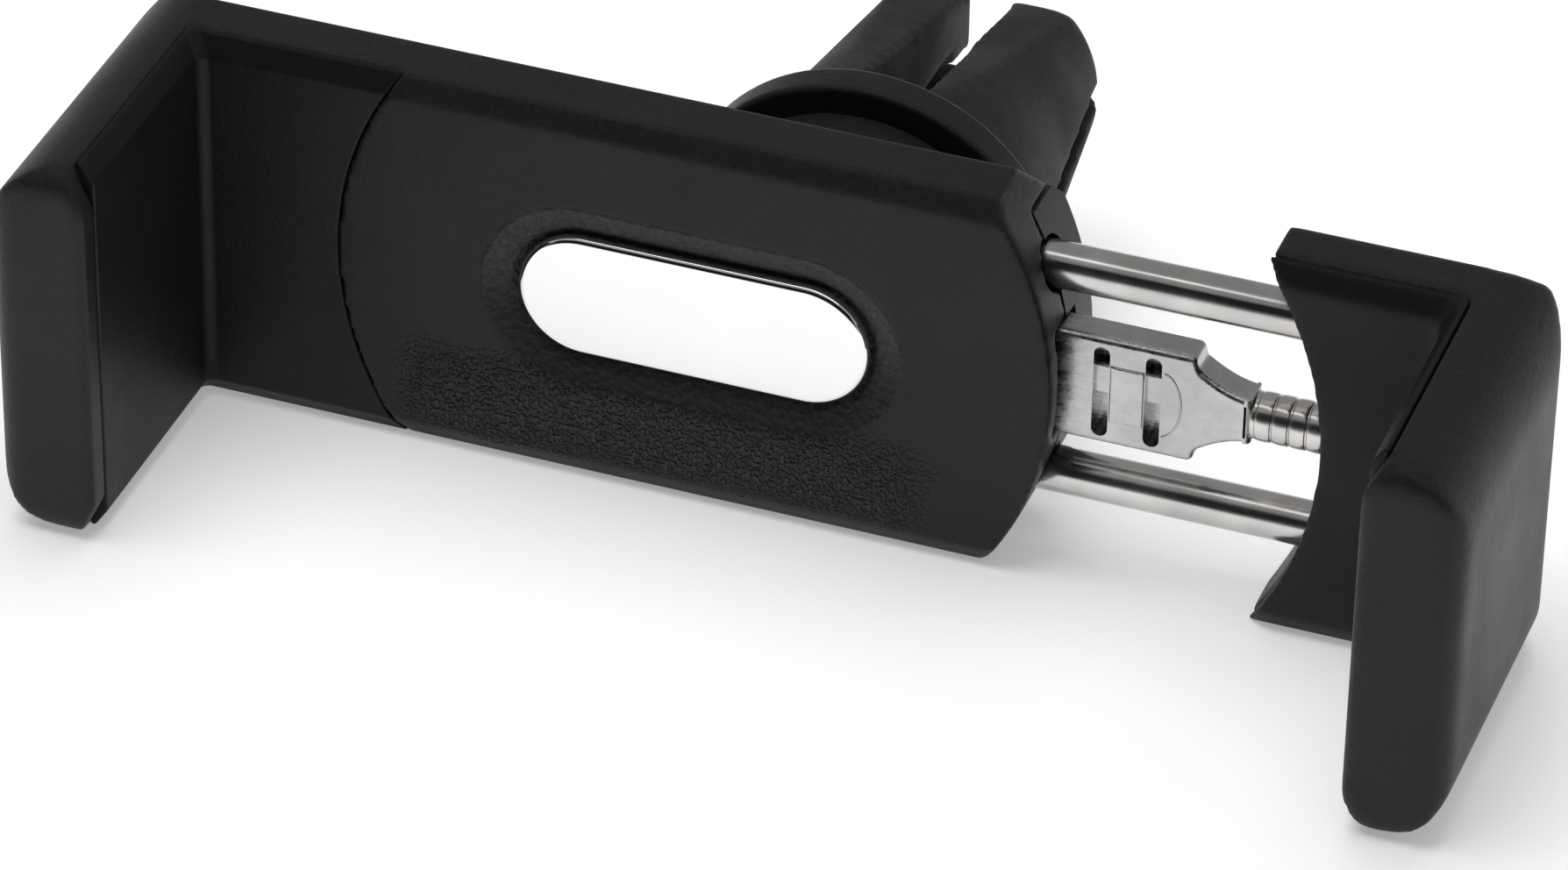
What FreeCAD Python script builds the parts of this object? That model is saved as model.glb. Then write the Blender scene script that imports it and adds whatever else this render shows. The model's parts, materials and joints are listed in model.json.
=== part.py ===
"""Car phone holder: a housing with a fixed jaw, a sliding jaw on two rods, and a vent clip.

Frame: X along the holder, Y from the phone towards the vent, Z up. The phone's back lies on
y = 0, the vent clip turns about the Y axis at x = 0, and the long lower edge stands on z = 0.
"""

import FreeCAD
import Part
import Sketcher
import math
import os

# Every driving size in millimetres: alias -> (value, what it is).
SIZES = {
    "holder_height": (27.0, "height of housing and jaws"),
    "body_depth": (8.2, "phone face to the back of the housing"),
    "face_mid": (-7.4, "middle of the front face, from the clip's axis"),
    "end_radius": (23.7, "radius of the housing's round ends, seen from the front"),
    "bay_width": (81.1, "between the linings as shown"),
    "fixed_inner": (-40.3, "inner face of the fixed lining"),
    "jaw_wall": (6.6, "thickness of a jaw with its lining"),
    "jaw_reach": (17.9, "how far the jaws stand out from the phone face"),
    "jaw_plate": (7.4, "width of the moving jaw's back plate at mid height"),
    "tip_gap": (4.0, "blunt tips of the moving plate, back from its hollow edge"),
    "pad_wall": (1.2, "thickness of the soft linings"),
    "pad_front": (2.0, "nose left bare in front of a lining"),
    "bevel_rise": (1.3, "height of the bevel along the phone face"),
    "bevel_depth": (0.9, "depth of that bevel"),
    "back_chamfer": (3.5, "chamfer along the back edges"),
    "corner_radius": (5.0, "outer corners of a jaw, seen from the front"),
    "nose_radius": (1.8, "rounding round the front of a nose"),
    "nose_rise": (2.6, "height of the slope at a nose's inner corners"),
    "nose_slope": (1.3, "width of that slope"),
    "heel_edge": (2.8, "rounding along the back edges of a jaw"),
    "heel_radius": (6.4, "outer back edge of a jaw, seen from above"),
    "seat_radius": (0.8, "hollow edge inside a lining, seen from above"),
    "badge_length": (23.4, "bright plate, length"),
    "badge_width": (8.7, "bright plate, width"),
    "badge_gap": (0.45, "dark gap round the bright plate"),
    "badge_floor": (1.35, "depth of the recess's floor"),
    "badge_step": (0.85, "depth at which the sloping surround ends"),
    "badge_slope": (2.0, "width of the sloping surround"),
    "badge_crown": (0.25, "how far the plate's middle stands proud of its rim"),
    "seam_depth": (3.75, "seam between housing and rear cover, behind the face"),
    "cover_half": (11.05, "half height of the rear cover"),
    "cover_left": (-37.9, "left end of the rear cover"),
    "cover_gap": (0.05, "clearance round a cover"),
    "front_wall": (2.25, "face to the hollow behind it"),
    "back_wall": (1.5, "thickness of the rear cover"),
    "end_wall": (6.8, "thickness of the housing's right end, at its middle"),
    "hollow_left": (-29.0, "left end of the hollow"),
    "hollow_half": (9.9, "half height of the hollow"),
    "rod_diameter": (3.0, "guide rods"),
    "rod_spacing": (15.2, "between the rods' axes"),
    "rod_depth": (4.05, "phone face to the rods' axes"),
    "rod_run": (5.0, "rod's length left of the end wall"),
    "rod_seat": (10.0, "depth of the rods in the moving jaw"),
    "rod_play": (0.03, "running clearance in the bushings, on the radius"),
    "rod_hole_play": (0.25, "clearance round the rods in the end wall, on the radius"),
    "bushing_diameter": (4.4, "outside of the rod bushings"),
    "bushing_length": (4.0, "length of the rod bushings"),
    "stop_diameter": (4.2, "stop rings on the rods"),
    "stop_length": (0.7, "thickness of the stop rings"),
    "stop_place": (0.9, "from a rod's end to its stop ring"),
    "stop_play": (0.25, "room round the stop rings"),
    "link_height": (7.76, "height of the folded link"),
    "link_front": (2.42, "phone face to the link's web"),
    "link_depth": (2.35, "depth of the link's folded edges"),
    "link_sheet": (0.6, "sheet of the link"),
    "stud_bare": (5.0, "neck between the link and the moving jaw"),
    "link_run": (4.5, "link's length left of the end wall"),
    "window_run": (8.5, "deep way for the link, left of the end wall"),
    "stop_run": (30.5, "grooves for the stop rings, left of the end wall"),
    "link_play": (0.15, "clearance round the link in the end wall"),
    "link_taper": (3.6, "length over which the link narrows"),
    "slot_back": (6.3, "second slot's middle, back from the link's end"),
    "slot_step": (3.35, "between the two slots"),
    "tab_height": (2.1, "strip that shows behind the slots"),
    "tab_lift": (0.7, "middle of that strip above the link's middle"),
    "slot_width": (1.0, "width of a slot"),
    "slot_length": (6.6, "length of a slot"),
    "strap_rise": (0.35, "how far the strap between the slots stands out"),
    "stud_diameter": (3.2, "round neck of the link"),
    "stud_seat": (5.0, "depth of the stud in the moving jaw"),
    "groove_depth": (0.25, "grooves round the neck"),
    "groove_width": (0.4, "width of those grooves"),
    "groove_first": (1.1, "first groove, from the stud's end"),
    "groove_step": (1.25, "between the grooves"),
    "boss_radius": (10.9, "pivot boss"),
    "boss_back": (10.4, "phone face to the boss's flat"),
    "boss_root": (6.95, "where the boss leaves the cover"),
    "ring_thick": (0.3, "friction ring"),
    "ring_outer": (9.0, "friction ring, outer radius"),
    "collar_radius": (12.6, "collar, outer radius"),
    "collar_front": (10.75, "phone face to the collar's front rim"),
    "collar_width": (2.6, "width of the collar's rim"),
    "collar_web": (1.3, "thickness of the collar's floor"),
    "pivot_play": (0.05, "running clearance at the pivot, on the radius"),
    "core_flange": (10.0, "radius of the core's flange"),
    "core_stem": (5.0, "radius of the core's stem"),
    "core_length": (7.0, "length of the core's stem past its flange"),
    "core_web": (2.6, "core under the screw's washer"),
    "flange_thick": (1.0, "thickness of the core's flange"),
    "screw_diameter": (2.6, "clip screw"),
    "head_diameter": (5.0, "head of the clip screw"),
    "head_height": (1.8, "height of that head"),
    "washer_diameter": (6.2, "washer under that head"),
    "washer_thick": (0.5, "thickness of that washer"),
    "insert_diameter": (4.4, "threaded insert"),
    "insert_length": (4.6, "length of the threaded insert"),
    "insert_boss": (3.9, "radius of the pillar round the insert"),
    "grip_root": (11.1, "radius of the soft clip at the collar"),
    "grip_length": (23.0, "length of the soft clip"),
    "grip_ring": (2.4, "unslotted ring at the clip's root"),
    "grip_well": (5.4, "driver's well inside the soft clip"),
    "well_floor": (3.2, "clip's tip to the end of that well"),
    "tip_width": (16.0, "clip's tip, across the vertical slot"),
    "tip_height": (9.8, "clip's tip, across the horizontal slot"),
    "tip_round": (1.8, "rounding of the clip's tip"),
    "slot_root": (4.4, "vertical slot at the ring"),
    "slot_tip": (2.8, "vertical slot at the tip"),
    "blade_slot": (1.5, "horizontal slot"),
    "screw_core": (1.6, "small housing screws"),
    "screw_head": (3.0, "heads of those screws"),
    "screw_sink": (0.9, "height of those heads"),
    "screw_length": (4.2, "shank of those screws"),
    "housing_screw_x": (-33.4, "first pair of housing screws"),
    "housing_screw_step": (11.4, "to the second pair"),
    "housing_screw_z": (6.6, "housing screws, off the middle"),
    "jaw_cover_start": (2.6, "moving jaw's hollow edge to its cover"),
    "jaw_cover_width": (5.0, "width of the moving jaw's cover"),
    "jaw_cover_half": (9.2, "half height of that cover"),
    "jaw_screw_z": (4.2, "its screws, off the middle"),
    "leaf_sheet": (0.3, "drag spring's strip"),
    "leaf_width": (3.0, "drag spring's width"),
    "leaf_foot": (-13.5, "drag spring's fixed end"),
    "leaf_hold": (5.0, "length of the part that is held"),
    "leaf_bend": (-3.6, "where the drag spring comes down"),
    "leaf_touch": (8.4, "where it bears on the link"),
    "fit": (0.05, "space between the drag spring and the link"),
}

DOC = FreeCAD.newDocument("phone_holder")
SHEET = DOC.addObject("Spreadsheet::Sheet", "Sizes")
NODES = []


class Size:
    """A size with the formula that binds it to the sheet, and its value."""

    def __init__(self, formula, value):
        self.formula = formula
        self.value = value

    def __add__(self, other):
        other = as_size(other)
        return Size(f"({self.formula} + {other.formula})", self.value + other.value)

    def __radd__(self, other):
        return as_size(other) + self

    def __sub__(self, other):
        other = as_size(other)
        return Size(f"({self.formula} - {other.formula})", self.value - other.value)

    def __rsub__(self, other):
        return as_size(other) - self

    def __mul__(self, other):
        other = as_size(other)
        return Size(f"({self.formula} * {other.formula})", self.value * other.value)

    def __rmul__(self, other):
        return as_size(other) * self

    def __truediv__(self, other):
        other = as_size(other)
        return Size(f"({self.formula} / {other.formula})", self.value / other.value)

    def __neg__(self):
        return Size(f"(0 - {self.formula})", -self.value)


def as_size(value):
    return value if isinstance(value, Size) else Size(f"({value})", value)


def chord(radius, offset):
    """Half the chord of a circle at an offset from its centre."""
    square = radius * radius - offset * offset
    return Size(f"sqrt({square.formula})", math.sqrt(square.value))


def fill_sheet():
    for row, (alias, (value, note)) in enumerate(SIZES.items(), start=1):
        SHEET.set(f"A{row}", alias)
        SHEET.set(f"B{row}", str(value))
        SHEET.set(f"C{row}", note)
        SHEET.setAlias(f"B{row}", alias)
    DOC.recompute()


def size(alias):
    return Size(f"Sizes.{alias}", SHEET.get(alias))


def new_body(label, place=(0, 0, 0), node=True):
    """An empty body at a place bound to the sheet; most bodies are pieces to be written."""
    body = DOC.addObject("PartDesign::Body", label)
    body.Label = label
    for axis, value in zip("xyz", place):
        body.setExpression(f"Placement.Base.{axis}", as_size(value).formula)
    if node:
        NODES.append(body)
    return body


PLANES = {"X": "YZ_Plane", "Y": "XZ_Plane", "Z": "XY_Plane"}
NORMAL_SIGN = {"X": 1, "Y": -1, "Z": 1}


def new_sketch(body, name, axis, level=0):
    """A sketch across an axis at a level: across X it holds (y, z), across Y (x, z), across Z (x, y)."""
    sketch = body.newObject("Sketcher::SketchObject", name)
    plane = next(f for f in body.Origin.OriginFeatures if f.Role == PLANES[axis])
    sketch.AttachmentSupport = [(plane, "")]
    sketch.MapMode = "FlatFace"
    offset = as_size(level) * NORMAL_SIGN[axis]
    sketch.setExpression("AttachmentOffset.Base.z", offset.formula)
    return sketch


def vector(point):
    return FreeCAD.Vector(as_size(point[0]).value, as_size(point[1]).value, 0)


def pin_point(sketch, index, end, point, axes=(0, 1)):
    """Hold a point of a sketch at sizes from the sheet, along one or both axes."""
    for axis in axes:
        value = as_size(point[axis])
        kind = ("DistanceX", "DistanceY")[axis]
        number = sketch.addConstraint(Sketcher.Constraint(kind, -1, 1, index, end, value.value))
        sketch.setExpression(f"Constraints[{number}]", value.formula)


def round_corner(before, corner, after, radius):
    """Ends and centre of the arc that rounds a corner between two lines along the sketch's axes."""
    ends = []
    centre = [as_size(corner[0]), as_size(corner[1])]
    for other in (before, after):
        gap = vector(other) - vector(corner)
        k = 0 if abs(gap.x) > abs(gap.y) else 1
        step = radius * math.copysign(1, gap.x if k == 0 else gap.y)
        end = [as_size(corner[0]), as_size(corner[1])]
        end[k] = end[k] + step
        centre[k] = centre[k] + step
        ends.append(end)
    return ends[0], ends[1], centre


def outline(sketch, corners):
    """Close a line round its corners.

    A corner is (a, b), (a, b, radius) where it is rounded, or ("arc", end, centre, radius), and a
    half circle adds the direction it bulges in.
    """
    spans = []
    place = [c[1] if c[0] == "arc" else c[:2] for c in corners]
    start = None
    for i, corner in enumerate(corners):
        if corner[0] == "arc":
            spans.append((draw_arc, start, *corner[1:]))
            start = corner[1]
            continue
        first = last = corner[:2]
        if len(corner) == 3:
            after = place[(i + 1) % len(corners)]
            first, last, centre = round_corner(place[i - 1], corner, after, corner[2])
        if start is not None:
            spans.append((draw_line, start, first))
        if len(corner) == 3:
            spans.append((draw_arc, first, last, centre, corner[2]))
        start = last
    if (vector(start) - vector(spans[0][1])).Length > 1e-9:
        spans.append((draw_line, start, spans[0][1]))
    for draw, *points in spans:
        draw(sketch, *points)


def draw_line(sketch, start, end):
    index = sketch.addGeometry(Part.LineSegment(vector(start), vector(end)), False)
    pin_point(sketch, index, 1, start)
    pin_point(sketch, index, 2, end)


def draw_arc(sketch, start, end, centre, radius, bulge=None):
    radius = as_size(radius)
    a, b, middle = vector(start), vector(end), vector(centre)
    outward = FreeCAD.Vector(*bulge, 0) if bulge else ((a + b) / 2 - middle).normalize()
    index = sketch.addGeometry(Part.Arc(a, middle + outward * radius.value, b), False)
    first = 1 if (sketch.getPoint(index, 1) - a).Length < 1e-6 else 2
    pin_point(sketch, index, first, start)
    pin_point(sketch, index, 3 - first, end)
    if bulge:
        pin_point(sketch, index, 3, centre, [0 if bulge[0] else 1])
        return
    number = sketch.addConstraint(Sketcher.Constraint("Radius", index, radius.value))
    sketch.setExpression(f"Constraints[{number}]", radius.formula)


def stadium(centre, length, width, upright=False):
    """A slot's outline: two straight sides joined by half circles."""
    half = width / 2
    reach = (length - width) / 2
    a, b = as_size(centre[0]), as_size(centre[1])

    def at(along, across):
        return (a - across, b + along) if upright else (a + along, b + across)

    far = (0, 1) if upright else (1, 0)
    near = (0, -1) if upright else (-1, 0)
    return [
        at(-reach, half), at(reach, half), ("arc", at(reach, -half), at(reach, 0), half, far),
        at(-reach, -half), ("arc", at(-reach, half), at(-reach, 0), half, near),
    ]


def circle(sketch, centre, radius):
    radius = as_size(radius)
    geometry = Part.Circle(vector(centre), FreeCAD.Vector(0, 0, 1), radius.value)
    index = sketch.addGeometry(geometry, False)
    pin_point(sketch, index, 3, centre)
    number = sketch.addConstraint(Sketcher.Constraint("Radius", index, radius.value))
    sketch.setExpression(f"Constraints[{number}]", radius.formula)


def prism(body, name, axis, start, end, outlines=(), circles=(), cut=False):
    """Add or cut a straight prism between two levels of an axis."""
    outward = NORMAL_SIGN[axis] > 0
    level = end if outward == cut else start
    sketch = new_sketch(body, name + "_sketch", axis, level)
    for corners in outlines:
        outline(sketch, corners)
    for centre, radius in circles:
        circle(sketch, centre, radius)
    kind = "PartDesign::Pocket" if cut else "PartDesign::Pad"
    feature = body.newObject(kind, name)
    feature.Profile = sketch
    feature.Type = "Length"
    length = as_size(end) - as_size(start)
    feature.setExpression("Length", length.formula)
    return feature


def turned(body, name, axis, half_profile, cut=False):
    """Turn a half profile of (along, radius) points about an axis through the body's origin."""
    sketch = new_sketch(body, name + "_sketch", "Z")
    swap = axis == "Y"
    points = [(r, along) if swap else (along, r) for along, r in half_profile]
    outline(sketch, points)
    feature = body.newObject("PartDesign::Groove" if cut else "PartDesign::Revolution", name)
    feature.Profile = sketch
    feature.ReferenceAxis = (sketch, ["V_Axis" if swap else "H_Axis"])
    feature.Angle = 360
    return feature


def check_document():
    for item in DOC.Objects:
        if "Invalid" in item.State or "Error" in item.State:
            raise RuntimeError(f"{item.Label}: {item.State}")
    for node in NODES:
        if node.Shape.isNull() or not node.Shape.isValid():
            raise RuntimeError(f"{node.Label}: no valid shape")


def loft(body, name, sketches, cut=False):
    feature = body.newObject("PartDesign::SubtractiveLoft" if cut else "PartDesign::AdditiveLoft", name)
    feature.Profile = sketches[0]
    feature.Sections = sketches[1:]
    feature.Ruled = True
    return feature


fill_sheet()

HEIGHT = size("holder_height")
MID = HEIGHT / 2
DEPTH = size("body_depth")
END_RADIUS = size("end_radius")
FACE_MID = size("face_mid")
PAD_WALL = size("pad_wall")
FIXED_INNER = size("fixed_inner")
FIXED_OUTER = FIXED_INNER - size("jaw_wall")
MOVING_INNER = FIXED_INNER + size("bay_width")
MOVING_OUTER = MOVING_INNER + size("jaw_wall")
MOVING_EDGE = MOVING_INNER - size("jaw_plate")
MOVING_MID = MOVING_EDGE - END_RADIUS
BODY_END = FACE_MID + END_RADIUS
ROD_END = MOVING_EDGE + size("rod_seat")
LINK_END = MOVING_EDGE - size("stud_bare")
REACH = size("jaw_reach")
PAD_FRONT = size("pad_front") - REACH
FAR = size("bay_width")
ROD_RADIUS = size("rod_diameter") / 2
ROD_Z = size("rod_spacing") / 2
ROD_DEPTH = size("rod_depth")
SEAM = size("seam_depth")
GAP = size("cover_gap")
END_WALL = BODY_END - size("end_wall")
ROD_START = END_WALL - size("rod_run")
LINK_START = END_WALL - size("link_run")
LINK_HALF = size("link_height") / 2
LINK_FRONT = size("link_front")
LINK_BACK = LINK_FRONT + size("link_depth")
COLLAR_FRONT = size("collar_front")
COLLAR_BACK = COLLAR_FRONT + size("collar_width")
COVER_HALF = size("cover_half")
COVER_INNER = DEPTH - size("back_wall")


def end_corners(outer, side, radius):
    """What rounded corners leave off at one end of the full height; side is -1 or 1."""
    inner = outer - radius * side
    pieces = []
    for up in (1, -1):
        tangent = MID * up - radius * up
        pieces.append([
            (inner, MID * up),
            ("arc", (outer, tangent), (inner, tangent), radius),
            (outer + 1.0 * side, tangent),
            (outer + 1.0 * side, MID * up + 1.0 * up),
            (inner, MID * up + 1.0 * up),
        ])
    return pieces


def shape_jaw(body, inner, outer, side):
    """Round a jaw's outer, front and back corners and slope its nose; side is -1 or 1."""
    low, high = (outer - 1.0, inner) if side < 0 else (inner, outer + 1.0)
    prism(body, "jaw_corners", "Y", -REACH - 1.0, DEPTH + 1.0,
          end_corners(outer, side, size("corner_radius")), cut=True)
    prism(body, "nose_rounding", "X", low, high, end_corners(-REACH, -1, size("nose_radius")), cut=True)
    prism(body, "heel_rounding", "X", low, high, end_corners(DEPTH, 1, size("heel_edge")), cut=True)
    prism(body, "nose_slopes", "Y", -REACH - 1.0, PAD_FRONT, nose_corners(inner, side), cut=True)


def nose_corners(inner, side):
    """The slopes at the inner corners of a nose, seen from the front; side is -1 or 1."""
    rise, slope = size("nose_rise"), size("nose_slope")
    return [
        [(inner, MID * up - rise * up), (inner + slope * side, MID * up),
         (inner + slope * side, MID * up + 1.0 * up), (inner - 1.0 * side, MID * up + 1.0 * up),
         (inner - 1.0 * side, MID * up - rise * up)]
        for up in (1, -1)
    ]


def back_edge(up):
    """The corner that a chamfer along the back takes off, seen from the end; up is 1 or -1."""
    cut = size("back_chamfer")
    return [
        (DEPTH, MID * up - cut * up), (DEPTH + 1.0, MID * up - cut * up),
        (DEPTH + 1.0, MID * up + 1.0 * up), (DEPTH - cut, MID * up + 1.0 * up),
        (DEPTH - cut, MID * up),
    ]


def face_edges():
    """The two corners that the bevels along the phone face take off, seen from the end."""
    rise, depth = size("bevel_rise"), size("bevel_depth")
    return [
        [(as_size(0), MID * up - rise * up), (depth, MID * up), (depth, MID * up + 1.0 * up),
         (as_size(-1), MID * up + 1.0 * up), (as_size(-1), MID * up - rise * up)]
        for up in (1, -1)
    ]


def end_circle_waste():
    """Everything right of the housing's round end, seen from the front."""
    return [
        (FACE_MID, END_RADIUS),
        ("arc", (FACE_MID, -END_RADIUS), (FACE_MID, as_size(0)), END_RADIUS, (1, 0)),
        (FACE_MID, -HEIGHT),
        (BODY_END + 8.0, -HEIGHT),
        (BODY_END + 8.0, HEIGHT),
        (FACE_MID, HEIGHT),
    ]


def rod_circles(radius):
    return [((ROD_DEPTH, ROD_Z), radius), ((ROD_DEPTH, -ROD_Z), radius)]


def housing_screw_places():
    first = size("housing_screw_x")
    row = (first, first + size("housing_screw_step"))
    z = size("housing_screw_z")
    return [(x, up) for x in row for up in (z, -z)]


def clear_working_space(body, back):
    """Room for the rods, their bushings and stops, and the link, up to a level behind the face."""
    play = size("link_play")
    half = size("hollow_half")
    prism(body, "hollow", "Y", size("front_wall"), back,
          [[(size("hollow_left"), -half, 1.5), (END_WALL, -half), (END_WALL, half),
            (size("hollow_left"), half, 1.5)]], cut=True)
    prism(body, "rod_holes", "X", END_WALL, BODY_END + 1.0,
          circles=rod_circles(ROD_RADIUS + size("rod_hole_play")), cut=True)
    prism(body, "bushing_seats", "X", END_WALL, END_WALL + size("bushing_length"),
          circles=rod_circles(size("bushing_diameter") / 2), cut=True)
    prism(body, "stop_grooves", "X", END_WALL - size("stop_run"), END_WALL,
          circles=rod_circles(size("stop_diameter") / 2 + size("stop_play")), cut=True)
    stud = size("stud_diameter") / 2
    first = stud_depth() - stud - play
    last = stud_depth() + stud + play
    window = END_WALL - size("window_run")
    prism(body, "link_window", "Y", first, last,
          [[(window, -LINK_HALF - play), (BODY_END + 1.0, -LINK_HALF - play),
            (BODY_END + 1.0, LINK_HALF + play), (window, LINK_HALF + play)]], cut=True)


def front_housing():
    """Front plate, rims, right end and left jaw in one moulding, open at the back."""
    body = new_body("front_housing", (0, 0, MID))
    prism(body, "plan", "Z", -MID, MID, [[
        (FIXED_INNER, -REACH), (FIXED_INNER, PAD_FRONT), (FIXED_INNER - PAD_WALL, PAD_FRONT),
        (FIXED_INNER - PAD_WALL, 0), (BODY_END + 4.0, 0), (BODY_END + 4.0, DEPTH),
        (FIXED_OUTER, DEPTH, size("heel_radius")), (FIXED_OUTER, -REACH, size("nose_radius")),
    ]])
    prism(body, "round_end", "Y", -1.0, DEPTH + 1.0, [end_circle_waste()], cut=True)
    shape_jaw(body, FIXED_INNER, FIXED_OUTER, -1)
    prism(body, "upper_chamfer", "X", FIXED_OUTER - 1.0, BODY_END + 1.0, [back_edge(1)], cut=True)
    prism(body, "lower_chamfer", "X", FIXED_INNER, BODY_END + 1.0, [back_edge(-1)], cut=True)
    prism(body, "face_bevels", "X", FIXED_INNER - PAD_WALL, BODY_END + 1.0, face_edges(), cut=True)
    prism(body, "lining_step", "Y", -1.0, PAD_WALL, [lining_area()], cut=True)
    prism(body, "cover_seat", "Y", SEAM, DEPTH + 1.0, [[
        (size("cover_left") - GAP, -COVER_HALF - GAP, 2.0), (BODY_END + 1.0, -COVER_HALF - GAP),
        (BODY_END + 1.0, COVER_HALF + GAP), (size("cover_left") - GAP, COVER_HALF + GAP, 2.0),
    ]], cut=True)
    clear_working_space(body, SEAM + 1.0)
    badge_recess(body)
    prism(body, "screw_pilots", "Y", size("front_wall"), SEAM + 1.0,
          circles=[(at, size("screw_core") / 2) for at in housing_screw_places()], cut=True)
    return body


def lining_area():
    """What the lining covers of the front plate: out to the plate's round left edge."""
    left = FIXED_INNER - PAD_WALL
    return [
        (FACE_MID, END_RADIUS), (left, END_RADIUS), (left, -END_RADIUS), (FACE_MID, -END_RADIUS),
        ("arc", (FACE_MID, END_RADIUS), (FACE_MID, as_size(0)), END_RADIUS, (-1, 0)),
    ]


def badge_recess(body):
    """A sloping oval surround, and the flat-floored recess that holds the plate."""
    gap, slope = size("badge_gap"), size("badge_slope")
    length = size("badge_length") + gap * 2
    width = size("badge_width") + gap * 2
    rims = []
    for name, level, grow in (("face", as_size(0), slope), ("step", size("badge_step"), as_size(0))):
        sketch = new_sketch(body, f"surround_{name}", "Y", level)
        outline(sketch, stadium((FACE_MID, 0), length + grow * 2, width + grow * 2))
        rims.append(sketch)
    loft(body, "surround", rims, cut=True)
    prism(body, "badge_pocket", "Y", 0, size("badge_floor"),
          [stadium((FACE_MID, 0), length, width)], cut=True)


def badge_plate():
    """Bright oval plate with a low crown, seated on the recess's floor."""
    body = new_body("badge_plate", (FACE_MID, 0, MID))
    length, width = size("badge_length"), size("badge_width")
    crown = size("badge_crown")
    rim = crown + 0.3
    prism(body, "plate", "Y", rim, size("badge_floor"), [stadium((0, 0), length, width)])
    sections = []
    for name, level, shrink in (("crown_foot", rim, 0.0), ("crown_shoulder", rim - crown * 0.6, 0.5),
                                ("crown_top", rim - crown, 1.6)):
        sketch = new_sketch(body, name, "Y", level)
        outline(sketch, stadium((0, 0), length - 2 * shrink, width - 2 * shrink))
        sections.append(sketch)
    loft(body, "crown", sections)
    return body


def rear_cover():
    """The housing's back, with its share of the end wall, and the pivot boss."""
    body = new_body("rear_cover", (0, 0, MID))
    edge = FACE_MID + chord(END_RADIUS, COVER_HALF)
    left = size("cover_left")
    prism(body, "plate", "Y", SEAM, DEPTH, [[
        (left, COVER_HALF, 2.0), (edge, COVER_HALF),
        ("arc", (edge, -COVER_HALF), (FACE_MID, as_size(0)), END_RADIUS),
        (left, -COVER_HALF, 2.0),
    ]])
    prism(body, "back_chamfers", "X", left - 1.0, BODY_END + 1.0, [back_edge(1), back_edge(-1)], cut=True)
    clear_working_space(body, COVER_INNER)
    prism(body, "boss", "Y", size("boss_root"), size("boss_back"), circles=[((0, 0), size("boss_radius"))])
    insert_front = size("boss_back") - size("insert_length")
    prism(body, "boss_hollow", "Y", COVER_INNER - 0.5, size("boss_back") - size("back_wall"),
          circles=[((0, 0), size("boss_radius") - size("back_wall"))], cut=True)
    prism(body, "insert_pillar", "Y", insert_front - 0.3, size("boss_back"),
          circles=[((0, 0), size("insert_boss"))])
    prism(body, "insert_bore", "Y", insert_front, size("boss_back"),
          circles=[((0, 0), size("insert_diameter") / 2)], cut=True)
    prism(body, "screw_holes", "Y", SEAM, DEPTH,
          circles=[(at, size("screw_core") / 2 + GAP) for at in housing_screw_places()], cut=True)
    prism(body, "screw_sinks", "Y", DEPTH - size("screw_sink"), DEPTH,
          circles=[(at, size("screw_head") / 2 + GAP) for at in housing_screw_places()], cut=True)
    return body


def lining_plan(inner, side):
    """A lining seen from above: the jaw's lining and the plate's, with a soft hollow edge."""
    wall = PAD_WALL * side
    return [
        (inner + wall, PAD_FRONT), (inner, PAD_FRONT), (inner, 0, size("seat_radius")),
        (FACE_MID if side < 0 else MOVING_MID, as_size(0)),
        (FACE_MID if side < 0 else MOVING_MID, PAD_WALL), (inner + wall, PAD_WALL),
    ]


def bevel_cut(body, inner, side):
    """Bevels along the inner edges of a lining, top and bottom, mitred at the hollow corner."""
    rise, depth = size("bevel_rise"), size("bevel_depth")
    for name, up in (("upper_bevel", 1), ("lower_bevel", -1)):
        rims = []
        for part, level, grow in (("foot", MID - rise, as_size(0)), ("rim", MID, depth),
                                  ("over", MID + rise, depth * 2)):
            sketch = new_sketch(body, f"{name}_{part}", "Z", level * up)
            edge = inner + grow * side
            outline(sketch, [(edge, grow, size("seat_radius")), (edge, -REACH - 5.0),
                             (inner - FAR * side, -REACH - 5.0), (inner - FAR * side, grow)])
            rims.append(sketch)
        loft(body, name, rims, cut=True)


def fixed_jaw_pad():
    body = new_body("fixed_jaw_pad", (0, 0, MID))
    prism(body, "plan", "Z", -MID, MID, [lining_plan(FIXED_INNER, -1)])
    bevel_cut(body, FIXED_INNER, -1)
    prism(body, "hollow_edge", "Y", -1.0, PAD_WALL + 1.0, circles=[((FACE_MID, 0), END_RADIUS)], cut=True)
    return body


def moving_jaw_pad():
    body = new_body("moving_jaw_pad", (0, 0, MID))
    prism(body, "plan", "Z", -MID, MID, [lining_plan(MOVING_INNER, 1)])
    bevel_cut(body, MOVING_INNER, 1)
    trim_moving_edge(body, -1.0, PAD_WALL + 1.0)
    return body


def trim_moving_edge(body, start, end):
    """The hollow free edge of the moving plate, and its blunt tips."""
    prism(body, "hollow_edge", "Y", start, end, circles=[((MOVING_MID, 0), END_RADIUS)], cut=True)
    tip = MOVING_EDGE - size("tip_gap")
    prism(body, "blunt_tips", "Y", start, end, [[
        (MOVING_MID - 1.0, -HEIGHT), (tip, -HEIGHT), (tip, HEIGHT), (MOVING_MID - 1.0, HEIGHT)]], cut=True)


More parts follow.
